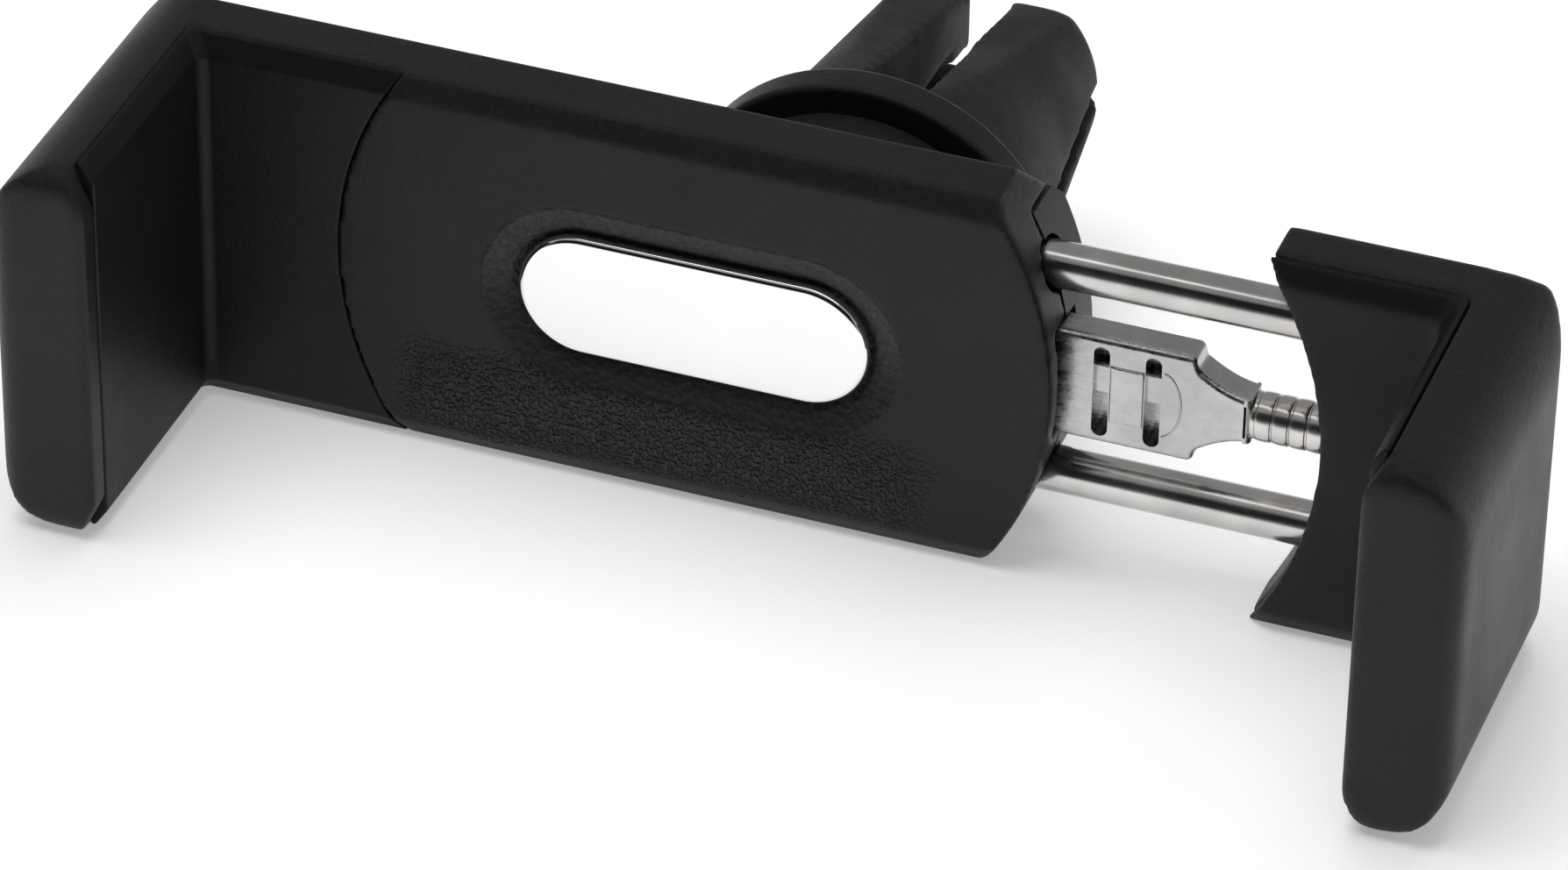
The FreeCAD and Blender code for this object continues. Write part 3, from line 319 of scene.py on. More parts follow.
def face_black(name, colour, settings):
    """The housing: as the other shells, with coarse crests low on its face whose tops carry a painted
    highlight, and a grained surround painted lighter towards its top as painted light.
    """
    finish = Finish(name)
    x, y, z = (finish.axis(i) for i in range(3))
    drift = finish.noise(120.0, 2.0, 0.5)
    level, place = z + drift * (3.0 * MM), x + drift * (5.0 * MM)
    upright_share = level.band(*CREST_TOP) * level.band(*CREST_FOOT)
    along_share = place.band(*CREST_LEFT) * place.band(*CREST_RIGHT)
    on_face = finish.facing(1).band(-0.35, -0.75)
    low, high = islands("badge_plate")[0]
    middle = (low + high) / 2
    radius = (high.z - low.z) / 2
    straight = (high.x - low.x) / 2 - radius
    beyond = (finish.away(x, middle.x) - straight).math("MAXIMUM", 0.0)
    off = (beyond * beyond + (z - middle.z) * (z - middle.z)).math("SQRT")
    rim = radius + settings.surround_width
    # The sloping surround round the badge: grain in its bump, painted light in its colour.
    ring = off.band(rim + 0.2 * MM, rim - 0.2 * MM) * on_face
    outside = off.band(rim - 0.5 * MM, rim + 0.3 * MM)
    # Zone of the coarse crests: it raises their bumps, smooths the roughness and carries their painted
    # highlight.
    crest_zone_with_painted_highlight = upright_share * along_share * on_face * outside
    patch = finish.noise(90.0, 3.0, 0.6)
    wrinkle = finish.cells(1.0 / settings.grain_size)
    crease = finish.noise(2.0 / settings.grain_size, 3.0, 0.65)
    fold = finish.noise(1.7 / settings.grain_size, 1.0, 0.5)
    speck = finish.noise(9000.0, 2.0, 0.6)
    quiet = patch.band(0.4, 0.7, 0.25, 0.7)
    crest = fold.band(0.44, 0.60)
    texture = (wrinkle * 0.2 + crease * 0.3) * quiet + crest * crest_zone_with_painted_highlight * 6.0 + speck * 0.2
    height = texture + ring * (wrinkle + crease) * 0.9
    plain = finish.mix(crease.band(0.3, 0.7), rgba(colour, 0.75), rgba(colour, 1.3))
    # The surround's colour: grain over painted light, 2.6 to 5.6 times the shell's black.
    grain_with_painted_light = finish.mix(crease.band(0.35, 0.65), rgba(colour, 2.6), rgba(colour, 5.6))
    # Painted light on the surround's slope: paler towards its top, plain black at its foot.
    shade = finish.mix(ring * (z - middle.z).band(-3.0 * MM, 2.0 * MM), plain, grain_with_painted_light)
    return finish.done({
        # Painted highlight: the crest tops in that zone are painted up to 3.2 times lighter.
        "Base Color": finish.mix(crest_zone_with_painted_highlight * fold.band(0.5, 0.64), shade, rgba(colour, 3.2)),
        "Roughness": patch.band(0.3, 0.7, 0.40, 0.50) - crest_zone_with_painted_highlight * 0.10,
        "Normal": finish.bump(height, FACE_GRAIN),
        "Specular IOR Level": settings.shell_gloss,
    })


def soft_rubber(name, colour, settings):
    """The vent clip: dull, with a fine felt-like tooth."""
    finish = Finish(name)
    tooth = finish.noise(5200.0, 3.0, 0.75)
    patch = finish.noise(160.0, 3.0, 0.6)
    shade = finish.mix(tooth.band(0.3, 0.7), rgba(colour, 0.7), rgba(colour, 1.5))
    return finish.done({
        "Base Color": shade,
        "Roughness": patch.band(0.3, 0.7, 0.55, 0.70),
        "Normal": finish.bump(tooth + patch * 0.4, CLIP_GRAIN),
        "Specular IOR Level": settings.shell_gloss,
    })


def drawn_metal(name, colour, roughness, along=(1.0, 1.0, 1.0), scratch=0.006 * MM):
    """Plated metal with fine lines along the way it was drawn."""
    finish = Finish(name)
    line = finish.noise(2600.0, 3.0, 0.7, finish.stretched(along))
    cloud = finish.noise(240.0, 3.0, 0.6)
    stain = cloud.band(0.35, 0.75)
    return finish.done({
        "Base Color": finish.mix(stain, rgba(colour, 0.86), rgba(colour, 1.08)),
        "Metallic": 1.0,
        "Roughness": line.band(0.3, 0.7, roughness * 0.75, roughness * 1.3) + stain * 0.03,
        "Normal": finish.bump(line + cloud * 0.6, scratch),
    })


def mirror_chrome(name):
    """Polished plate: almost a mirror, with a trace of handling."""
    finish = Finish(name)
    haze = finish.noise(140.0, 3.0, 0.6)
    ripple = finish.noise(60.0, 2.0, 0.5)
    clear, hazy = (0.955, 0.955, 0.955, 1.0), (0.97, 0.97, 0.97, 1.0)
    return finish.done({
        "Base Color": finish.mix(haze.band(0.4, 0.7), clear, hazy),
        "Metallic": 1.0,
        "Roughness": haze.band(0.35, 0.8, 0.015, 0.05),
        "Normal": finish.bump(ripple, 0.001 * MM),
    })


def make_finishes(settings):
    """One material for each slot of the record."""
    shell, lining = tuple(settings.shell_colour), tuple(settings.lining_colour)
    nickel, zinc = tuple(settings.nickel_colour), tuple(settings.zinc_colour)
    face_black("housing_plastic", shell, settings)
    soft_touch_black("soft_lining", lining, settings, SHELL_GRAIN, 0.46)
    soft_touch_black("collar_plastic", shell, settings, SHELL_GRAIN, 0.42)
    soft_touch_black("ring_plastic", RING_GREY, settings, RING_GRAIN, 0.5)
    soft_rubber("clip_rubber", tuple(settings.clip_colour), settings)
    mirror_chrome("mirror_chrome")
    drawn_metal("bright_rod", nickel, 0.19, ROD_LINES)
    drawn_metal("zinc_sheet", zinc, 0.26, SHEET_LINES, SHEET_SCRATCH)
    drawn_metal("bushing_brass", BRASS, 0.28)
    drawn_metal("spring_steel", SPRING_STEEL, 0.25)
    drawn_metal("black_steel", BLACK_STEEL, 0.34)


def dress(obj, slot):
    """Give an object the one material of a slot."""
    material = bpy.data.materials[slot + FINISH_ENDING]
    if not obj.material_slots:
        obj.data.materials.append(material)
    for place in obj.material_slots:
        place.material = material


# Meshes

def new_piece(name, mesh, node, slot):
    """Link a finished mesh as a piece that stands for a node."""
    obj = bpy.data.objects.new(name, mesh)
    bpy.context.scene.collection.objects.link(obj)
    dress(obj, slot)
    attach(obj, BODY_OF[node])
    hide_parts(node)
    return obj


def welded_copy(node):
    """A node's mesh as one closed skin with its flat faces joined up."""
    bm = bmesh.new()
    bm.from_mesh(NODES[node].data)
    bmesh.ops.remove_doubles(bm, verts=bm.verts, dist=WELD_DISTANCE)
    bmesh.ops.dissolve_limit(
        bm, angle_limit=FLAT_ANGLE, verts=bm.verts, edges=bm.edges,
        use_dissolve_boundaries=False, delimit=set())
    bmesh.ops.recalc_face_normals(bm, faces=bm.faces)
    mesh = bpy.data.meshes.new(node + "_soft")
    bm.to_mesh(mesh)
    bm.free()
    return mesh


def eased(node, radius):
    """A node's form with every hard edge rounded, in place of the node."""
    mesh = welded_copy(node)
    mesh.shade_smooth()
    obj = new_piece(node + "_eased", mesh, node, SLOT_OF[node])
    bevel = obj.modifiers.new("edges", "BEVEL")
    bevel.width = radius
    bevel.segments = 3
    bevel.limit_method = "ANGLE"
    bevel.angle_limit = HARD_EDGE
    bevel.use_clamp_overlap = True
    bevel.miter_outer = "MITER_ARC"
    normals = obj.modifiers.new("normals", "WEIGHTED_NORMAL")
    normals.mode = "FACE_AREA"
    normals.keep_sharp = False
    return obj


def softened(node):
    """A node's form with well rounded edges: an even skin, smoothed, in place of the node."""
    cell, passes = SKINS[node]
    obj = new_piece(node + "_eased", welded_copy(node), node, SLOT_OF[node])
    skin = obj.modifiers.new("even_skin", "REMESH")
    skin.mode = "VOXEL"
    skin.voxel_size = cell
    skin.use_smooth_shade = True
    smooth = obj.modifiers.new("rounding", "SMOOTH")
    smooth.factor = 0.5
    smooth.iterations = passes
    return obj


# Repeated forms as node trees

class Tree:
    """A geometry node tree with named inputs that ends in real, dressed geometry."""

    def __init__(self, name, inputs):
        self.group = bpy.data.node_groups.new(name, "GeometryNodeTree")
        self.group.interface.new_socket("Geometry", in_out="INPUT", socket_type="NodeSocketGeometry")
        for label, kind, value in inputs:
            socket = self.group.interface.new_socket(label, in_out="INPUT", socket_type=kind)
            socket.default_value = value
        self.group.interface.new_socket("Geometry", in_out="OUTPUT", socket_type="NodeSocketGeometry")
        self.source = self.group.nodes.new("NodeGroupInput")

    def input(self, label):
        return self.source.outputs[label]

    def add(self, kind, settings, inputs, output=0):
        node = self.group.nodes.new(kind)
        for key, value in settings.items():
            setattr(node, key, value)
        for key, value in inputs.items():
            if isinstance(value, (list, bpy.types.NodeSocket)):
                for socket in value if isinstance(value, list) else [value]:
                    self.group.links.new(socket, node.inputs[key])
            else:
                node.inputs[key].default_value = value
        return node.outputs[output]

    def math(self, operation, first, second):
        return self.add("ShaderNodeMath", {"operation": operation}, {0: first, 1: second})

    def finish(self, geometry, material):
        real = self.add("GeometryNodeRealizeInstances", {}, {"Geometry": geometry})
        dressed = self.add("GeometryNodeSetMaterial", {}, {"Geometry": real, "Material": material})
        target = self.group.nodes.new("NodeGroupOutput")
        self.group.links.new(dressed, target.inputs["Geometry"])

    def bake(self, name, mesh, values):
        """Run the tree on a mesh and return the mesh it makes."""
        carrier = bpy.data.objects.new(name + "_carrier", mesh)
        bpy.context.scene.collection.objects.link(carrier)
        modifier = carrier.modifiers.new("nodes", "NODES")
        modifier.node_group = self.group
        for item in self.group.interface.items_tree:
            if item.in_out == "INPUT" and item.name in values:
                modifier[item.identifier] = values[item.name]
        depsgraph = bpy.context.evaluated_depsgraph_get()
        baked = bpy.data.meshes.new_from_object(carrier.evaluated_get(depsgraph))
        bpy.data.objects.remove(carrier)
        baked.name = name
        return baked


def point_mesh(name, points):
    mesh = bpy.data.meshes.new(name)
    mesh.from_pydata([tuple(point) for point in points], [], [])
    return mesh


def screw_tree(material):
    """A small cross-recessed screw on each point, its head towards +Y, its thread a coil."""
    tree = Tree("small_screws", (
        ("Head radius", "NodeSocketFloat", 1.5 * MM), ("Shank radius", "NodeSocketFloat", 0.8 * MM),
        ("Length", "NodeSocketFloat", 4.0 * MM), ("Head depth", "NodeSocketFloat", 0.8 * MM),
        ("Pitch", "NodeSocketFloat", 0.45 * MM), ("Recess", "NodeSocketFloat", 0.4 * MM)))
    head_radius, shank_radius = tree.input("Head radius"), tree.input("Shank radius")
    length, head_depth, pitch = tree.input("Length"), tree.input("Head depth"), tree.input("Pitch")
    head = tree.add("GeometryNodeMeshCone", {}, {
        "Vertices": 40, "Side Segments": 3, "Radius Top": head_radius,
        "Radius Bottom": tree.math("MULTIPLY", head_radius, 0.94), "Depth": head_depth})
    arm = tree.math("MULTIPLY", head_radius, 1.15)
    depth = tree.math("MULTIPLY", head_depth, 1.1)
    bars = []
    for along, across in ((arm, tree.input("Recess")), (tree.input("Recess"), arm)):
        extent = tree.add("ShaderNodeCombineXYZ", {}, {"X": along, "Y": across, "Z": depth})
        bars.append(tree.add("GeometryNodeMeshCube", {}, {"Size": extent}))
    cross = tree.add(
        "GeometryNodeMeshBoolean", {"operation": "UNION", "solver": "EXACT"}, {"Mesh 2": bars})
    lift = tree.add("ShaderNodeCombineXYZ", {}, {"Z": head_depth})
    cutter = tree.add("GeometryNodeTransform", {}, {"Geometry": cross, "Translation": lift})
    cut_head = tree.add(
        "GeometryNodeMeshBoolean", {"operation": "DIFFERENCE", "solver": "EXACT"},
        {"Mesh 1": head, "Mesh 2": cutter})
    shank = tree.add("GeometryNodeMeshCylinder", {}, {
        "Vertices": 20, "Radius": tree.math("MULTIPLY", shank_radius, 0.82), "Depth": length})
    half = tree.math("MULTIPLY", length, -0.5)
    hung = tree.add("GeometryNodeTransform", {}, {
        "Geometry": shank, "Translation": tree.add("ShaderNodeCombineXYZ", {}, {"Z": half})})
    thread_length = tree.math("MULTIPLY", length, 0.92)
    coil_radius = tree.math("MULTIPLY", shank_radius, 0.86)
    coil = tree.add("GeometryNodeCurveSpiral", {}, {
        "Resolution": 20, "Rotations": tree.math("DIVIDE", thread_length, pitch),
        "Start Radius": coil_radius, "End Radius": coil_radius, "Height": thread_length})
    low = tree.math("MULTIPLY", thread_length, -1.0)
    set_down = tree.add("GeometryNodeTransform", {}, {
        "Geometry": coil, "Translation": tree.add("ShaderNodeCombineXYZ", {}, {"Z": low})})
    ridge = tree.add("GeometryNodeCurvePrimitiveCircle", {}, {
        "Resolution": 5, "Radius": tree.math("MULTIPLY", shank_radius, 0.13)})
    thread = tree.add("GeometryNodeCurveToMesh", {}, {
        "Curve": set_down, "Profile Curve": ridge, "Fill Caps": True})
    one = tree.add("GeometryNodeJoinGeometry", {}, {"Geometry": [thread, hung, cut_head]})
    turned = tree.add("GeometryNodeTransform", {}, {
        "Geometry": one, "Rotation": (-math.pi / 2, 0.0, 0.0)})
    placed = tree.add("GeometryNodeInstanceOnPoints", {}, {
        "Points": tree.input("Geometry"), "Instance": turned})
    tree.finish(placed, material)
    return tree


def ring_tree(material):
    """Rounded rings in a row along X, one at each step."""
    tree = Tree("neck_rings", (
        ("Count", "NodeSocketInt", 4), ("Start", "NodeSocketFloat", 0.0),
        ("Step", "NodeSocketFloat", 1.0 * MM), ("Radius", "NodeSocketFloat", 1.5 * MM),
        ("Bead", "NodeSocketFloat", 0.06 * MM), ("Stretch", "NodeSocketFloat", 3.0)))
    row = tree.add("GeometryNodeMeshLine", {"mode": "OFFSET"}, {
        "Count": tree.input("Count"),
        "Start Location": tree.add("ShaderNodeCombineXYZ", {}, {"X": tree.input("Start")}),
        "Offset": tree.add("ShaderNodeCombineXYZ", {}, {"X": tree.input("Step")})})
    loop = tree.add("GeometryNodeCurvePrimitiveCircle", {}, {
        "Resolution": 48, "Radius": tree.math("SUBTRACT", tree.input("Radius"), tree.input("Bead"))})
    bead = tree.add("GeometryNodeCurvePrimitiveCircle", {}, {
        "Resolution": 12, "Radius": tree.input("Bead")})
    ring = tree.add("GeometryNodeCurveToMesh", {}, {"Curve": loop, "Profile Curve": bead})
    stretch = tree.add("ShaderNodeCombineXYZ", {}, {"X": 1.0, "Y": 1.0, "Z": tree.input("Stretch")})
    wide = tree.add("GeometryNodeTransform", {}, {"Geometry": ring, "Scale": stretch})
    upright = tree.add("GeometryNodeTransform", {}, {
        "Geometry": wide, "Rotation": (0.0, math.pi / 2, 0.0)})
    placed = tree.add("GeometryNodeInstanceOnPoints", {}, {"Points": row, "Instance": upright})
    tree.finish(placed, material)
    return tree


def islands(node):
    """The boxes of a node's separate solids, as pairs of corners."""
    bm = bmesh.new()
    bm.from_mesh(NODES[node].data)
    bmesh.ops.remove_doubles(bm, verts=bm.verts, dist=WELD_DISTANCE)
    waiting = set(bm.verts)
    boxes = []
    while waiting:
        stack = [waiting.pop()]
        members = []
        while stack:
            vert = stack.pop()
            members.append(vert.co.copy())
            for edge in vert.link_edges:
                other = edge.other_vert(vert)
                if other in waiting:
                    waiting.remove(other)
                    stack.append(other)
        low = Vector(min(co[i] for co in members) for i in range(3))
        high = Vector(max(co[i] for co in members) for i in range(3))
        boxes.append((low, high))
    bm.free()
    return sorted(boxes, key=lambda box: tuple(box[0]))


def lofted_mesh(name, rows):
    """Closed smooth solid through rows of points, its two ends capped."""
    bm = bmesh.new()
    rings = [[bm.verts.new(point) for point in row] for row in rows]
    for first, second in zip(rings, rings[1:]):
        for i in range(len(first)):
            bm.faces.new((first[i], first[i - 1], second[i - 1], second[i]))
    bm.faces.new(rings[0])
    bm.faces.new(reversed(rings[-1]))
    bmesh.ops.recalc_face_normals(bm, faces=bm.faces)
    mesh = bpy.data.meshes.new(name)
    bm.to_mesh(mesh)
    bm.free()
    mesh.shade_smooth()
    return mesh


def circle_turns(sides):
    """The angles of a circle's points."""
    return [math.tau * i / sides for i in range(sides)]


def turned_mesh(name, centre, profile, sides=64):
    """Closed solid turned about a line along X through a centre, from (x, radius) points."""
    return lofted_mesh(name, [
        [(x, centre[1] + radius * math.cos(turn), centre[2] + radius * math.sin(turn))
         for turn in circle_turns(sides)] for x, radius in profile])


def skin_mesh(name, line, profile):
    """Closed solid on an (x, z) line, its skin stepping in by (inset, y) points, back first."""
    inward = []
    for i in range(len(line)):
        ahead, behind = Vector(line[(i + 1) % len(line)]), Vector(line[i - 1])
        way = (ahead - behind).normalized()
        inward.append(Vector((-way.y, way.x)))
    return lofted_mesh(name, [
        [(x + inward[i].x * inset, y, z + inward[i].y * inset) for i, (x, z) in enumerate(line)]
        for inset, y in profile])


def densified(corners, count):
    """A closed line of corners with more points along each side."""
    line = []
    for (x, z), (to_x, to_z) in zip(corners, corners[1:] + corners[:1]):
        line += [(x + (to_x - x) * i / count, z + (to_z - z) * i / count) for i in range(count)]
    return line


def rounded_edge(width, depth, y, step=1):
    """Profile points round a quarter, from a wall at y to the flat that faces the front."""
    points, count = [], 6
    for i in range(count + 1):
        turn = math.pi / 2 * i / count
        points.append((width * (1.0 - math.cos(turn)), y + step * depth * (1.0 - math.sin(turn))))
    return points


def cut_mesh(name, mesh, cutters):
    """The mesh less its cutters, its hard edges kept hard."""
    body = bpy.data.objects.new(name, mesh)
    bpy.context.scene.collection.objects.link(body)
    tools = []
    for i, cutter in enumerate(cutters):
        tool = bpy.data.objects.new(f"{name}_cutter_{i}", cutter)
        bpy.context.scene.collection.objects.link(tool)
        modifier = body.modifiers.new(f"cut_{i}", "BOOLEAN")
        modifier.operation = "DIFFERENCE"
        modifier.solver = "EXACT"
        modifier.object = tool
        tools.append(tool)
    depsgraph = bpy.context.evaluated_depsgraph_get()
    result = bpy.data.meshes.new_from_object(body.evaluated_get(depsgraph))
    for obj in (body, *tools):
        bpy.data.objects.remove(obj)
    result.set_sharp_from_angle(angle=CUT_EDGE)
    return result


def tube_mesh(name, path, radius, sides=10):
    """Closed round bead along a line of points that lies across Y."""
    across = Vector((0.0, 1.0, 0.0))
    rows = []
    for i, point in enumerate(path):
        way = (path[min(i + 1, len(path) - 1)] - path[max(i - 1, 0)]).normalized()
        side = way.cross(across)
        rows.append([point + side * (radius * math.cos(turn)) + across * (radius * math.sin(turn))
                     for turn in circle_turns(sides)])
    return lofted_mesh(name, rows)


def oval_mesh(name, low, high, profile, sides=40):
    """Closed oval plate across Y within a box, from (inset, y) points, back first."""
    middle = (low + high) / 2
    half = (high - low) / 2
    upright = half.z > half.x
    radius = min(half.x, half.z)
    straight = max(half.x, half.z) - radius
    line = []
    for end in (1, -1):
        for i in range(sides + 1):
            turn = math.pi * (i / sides - 0.5)
            along = end * (straight + radius * math.cos(turn))
            across = end * radius * math.sin(turn)
            line.append((middle.x - across, middle.z + along) if upright
                        else (middle.x + along, middle.z + across))
    return skin_mesh(name, line, profile)


# The pieces

class HOLDER_OT_finishes(bpy.types.Operator):
    """Make every material and give each CAD piece its own"""

    bl_idname = "holder.finishes"
    bl_label = "Make finishes"

    def execute(self, context):
        make_finishes(context.scene.holder_finish)
        for node, obj in NODES.items():
            dress(obj, SLOT_OF[node])
        return {"FINISHED"}


class HOLDER_OT_housing(bpy.types.Operator):
    """Housing, rear cover and fixed lining with their edges eased"""

    bl_idname = "holder.housing"
    bl_label = "Housing"

    def execute(self, context):
        settings = context.scene.holder_finish
        softened("front_housing")
        eased("rear_cover", settings.shell_edge * 0.5)
        eased("fixed_jaw_pad", settings.lining_edge)
        return {"FINISHED"}


class HOLDER_OT_moving_jaw(bpy.types.Operator):
    """Moving jaw, its cover and its lining with their edges eased"""

    bl_idname = "holder.moving_jaw"
    bl_label = "Moving jaw"

    def execute(self, context):
        settings = context.scene.holder_finish
        softened("moving_jaw_shell")
        eased("moving_jaw_cover", settings.shell_edge * 0.5)
        softened("moving_jaw_pad")
        return {"FINISHED"}


def link_outline(low, high, neck, taper):
    """Half of the link's outline, as (x, height over its middle): edge, round corner, shoulder."""
    half = (high.z - low.z) / 2
    shoulder = high.x - taper
    corner = 0.5 * MM
    top = [(low.x, half), (shoulder - corner, half)]
    for i in range(1, 6):
        turn = math.pi / 2 * i / 5
        top.append((shoulder - corner * (1.0 - math.sin(turn)), half - corner * (1.0 - math.cos(turn))))
    start = Vector((shoulder + 0.12 * MM, half - 0.9 * MM))
    knee = Vector((shoulder + 2.1 * MM, neck))
    end = Vector((high.x, neck))
    for i in range(13):
        t = i / 12
        point = start * (1 - t) ** 2 + knee * (2 * t * (1 - t)) + end * t ** 2
        top.append((point.x, point.y))
    return top


def rectangle(left, right, foot, top):
    return [(left, foot), (right, foot), (right, top), (left, top)]


def link_piece(ending, mesh):
    new_piece("draw_link_" + ending, mesh, "draw_link", SLOT_OF["draw_link"])


class HOLDER_OT_link(bpy.types.Operator):
    """Folded link: rounded folds, curved shoulders, two slots over an inner strip, pressed lines"""

    bl_idname = "holder.link"
    bl_label = "Link"

    def execute(self, context):
        settings = context.scene.holder_finish
        low, high = islands("draw_link")[0]
        stud_low, stud_high = islands("link_stud")[0]
        stud = (stud_low + stud_high) / 2
        neck = (stud_high.z - stud_low.z) / 2
        front = stud.y * 2 - high.y
        second = high.x - settings.slot_back
        slots = [second - settings.slot_step, second]
        wide, tall = settings.slot_width / 2, settings.slot_length / 2

        top = link_outline(low, high, neck, settings.link_taper)
        line = [(x, stud.z - z) for x, z in top] + [(x, stud.z + z) for x, z in reversed(top)]
        fold, back_fold = settings.sheet_edge, settings.sheet_edge * 0.6
        profile = rounded_edge(back_fold, back_fold, high.y, -1)[::-1] + rounded_edge(fold, fold, front)
        through = [(0.0, front + 1.3 * MM), (0.0, front - 1.0 * MM)]
        cutters = [oval_mesh("slot", Vector((x - wide, 0, stud.z - tall)),
                             Vector((x + wide, 0, stud.z + tall)), through, 12) for x in slots]
        blank = skin_mesh("link_blank", line, profile)
        link_piece("folded", cut_mesh("link_cut", blank, cutters))

        soft = 0.14 * MM
        strip_reach, strip_foot, strip_top = wide * 1.6, -0.35 * MM, 1.75 * MM
        strap_reach, strap_half = wide * 1.1, tall * 0.62
        strip = rectangle(slots[0] - strip_reach, slots[1] + strip_reach, strip_foot, strip_top)
        strap = rectangle(slots[0] + strap_reach, slots[1] - strap_reach, -strap_half, strap_half)
        for name, box, level in (("strip", strip, front + 0.35 * MM), ("strap", strap, front - 0.13 * MM)):
            line = densified([(x, stud.z + z) for x, z in box], 6)
            edge = [(0.0, level + 0.3 * MM), *rounded_edge(soft, soft, level)]
            link_piece(name, skin_mesh("link_" + name, line, edge))

        bow, bead = settings.slot_length * 0.36, 0.075 * MM
        turns = [math.radians(-82 + 8.2 * i) for i in range(21)]
        arc = [Vector((slots[1] + wide + bow * math.cos(turn) * 0.55, front + 0.01 * MM,
                       stud.z + bow * math.sin(turn))) for turn in turns]
        link_piece("bow", tube_mesh("link_bow", arc, bead))
        return {"FINISHED"}


class HOLDER_OT_badge(bpy.types.Operator):
    """Mirror-bright plate: a flat top with a rounded shoulder and a plain rim"""

    bl_idname = "holder.badge"
    bl_label = "Badge plate"

    def execute(self, context):
        low, high = islands("badge_plate")[0]
        width = context.scene.holder_finish.badge_shoulder
        profile = [(0.0, high.y), *rounded_edge(width, width, low.y)]
        new_piece("badge_plate_polished", oval_mesh("badge_plate_polished", low, high, profile),
                  "badge_plate", SLOT_OF["badge_plate"])
        return {"FINISHED"}


class HOLDER_OT_rods(bpy.types.Operator):
    """Guide rods as true cylinders with rounded ends"""

    bl_idname = "holder.rods"
    bl_label = "Guide rods"

    def execute(self, context):
        for node in ("guide_rod_upper", "guide_rod_lower"):
            low, high = islands(node)[0]
            centre = (low + high) / 2
            radius = (high.z - low.z) / 2
            ease = radius * 0.22
            third = ease * 0.3
            profile = [
                (low.x, radius - ease), (low.x + third, radius - third), (low.x + ease, radius),
                (high.x - ease, radius), (high.x - third, radius - third), (high.x, radius - ease)]
            new_piece(node + "_turned", turned_mesh(node, centre, profile, 96), node, SLOT_OF[node])
        return {"FINISHED"}


class HOLDER_OT_neck(bpy.types.Operator):
    """The link's neck: a core with a row of flat swellings parted by narrow grooves"""

    bl_idname = "holder.neck"
    bl_label = "Ringed neck"

    def execute(self, context):
        settings = context.scene.holder_finish
        low, high = islands("link_stud")[0]
        centre = (low + high) / 2
        radius = (high.z - low.z) / 2
        core, entry, bead = radius * 0.955, radius * 0.97, radius * 0.04
        step = (high.x - low.x) * 0.5 / (settings.neck_rings + 0.5)
        last = low.x + step * (settings.neck_rings + 0.3)
        profile = [(low.x, entry), (low.x + step * 0.2, core), (last, core),
                   (last + 0.1 * MM, radius), (high.x, radius)]
        mesh = turned_mesh("neck_core", centre, profile)
        new_piece("link_stud_core", mesh, "link_stud", SLOT_OF["link_stud"])
        tree = ring_tree(bpy.data.materials[SLOT_OF["link_stud"] + FINISH_ENDING])
        rings = tree.bake("neck_rings", point_mesh("neck_seed", [centre]), {
            "Count": settings.neck_rings, "Start": 0.0, "Step": step, "Radius": radius,
            "Bead": bead, "Stretch": step * 0.46 / bead})
        shift = Matrix.Translation((low.x + step * 0.75, centre.y, centre.z))
        rings.transform(shift)
        rings.shade_smooth()
        new_piece("link_stud_rings", rings, "link_stud", SLOT_OF["link_stud"])
        return {"FINISHED"}


class HOLDER_OT_screws(bpy.types.Operator):
    """Small cross-recessed screws with real threads in the cover's and the jaw's back"""

    bl_idname = "holder.screws"
    bl_label = "Small screws"

    def execute(self, context):
        settings = context.scene.holder_finish
        for node in ("housing_screws", "jaw_cover_screws"):
            boxes = islands(node)
            low, high = boxes[0]
            head_radius = (high.x - low.x) / 2
            head_depth = 0.9 * MM
            length = (high.y - low.y) - head_depth
            points = [((start.x + end.x) / 2, end.y - head_depth / 2, (start.z + end.z) / 2)
                      for start, end in boxes]
            tree = screw_tree(bpy.data.materials[SLOT_OF[node] + FINISH_ENDING])
            mesh = tree.bake(node + "_threaded", point_mesh(node + "_seeds", points), {
                "Head radius": head_radius, "Shank radius": head_radius * 0.5, "Length": length,
                "Head depth": head_depth, "Pitch": settings.thread_pitch, "Recess": settings.recess_width})
            new_piece(node + "_threaded", mesh, node, SLOT_OF[node])
        return {"FINISHED"}


class HOLDER_OT_vent_clip(bpy.types.Operator):
    """Collar and soft prongs of the vent clip"""

    bl_idname = "holder.vent_clip"
    bl_label = "Vent clip"

    def execute(self, context):
        settings = context.scene.holder_finish
        eased("clip_collar", settings.shell_edge * 0.6)
        softened("vent_grip")
        return {"FINISHED"}


# The studio

def studio_camera(settings):
    """Camera from its angles, its distance and its aim."""
    azimuth, elevation, roll = settings.azimuth, settings.elevation, settings.roll
    back = Vector((math.sin(azimuth) * math.cos(elevation),
                   -math.cos(azimuth) * math.cos(elevation), math.sin(elevation)))
    level = Vector((math.cos(azimuth), math.sin(azimuth), 0.0))
    upright = back.cross(level)
    right = level * math.cos(roll) + upright * math.sin(roll)
    up = upright * math.cos(roll) - level * math.sin(roll)
    data = bpy.data.cameras.new("studio_camera")
    data.lens = settings.lens
    data.sensor_width = 36.0
    data.sensor_fit = "HORIZONTAL"
    data.clip_start = 0.01
    data.clip_end = 20.0
    camera = bpy.data.objects.new("studio_camera", data)
    turn = Matrix((right, up, back)).transposed().to_4x4()
    place = Vector(settings.aim) + back * settings.distance
    camera.matrix_world = Matrix.Translation(place) @ turn
    bpy.context.scene.collection.objects.link(camera)
    bpy.context.scene.camera = camera


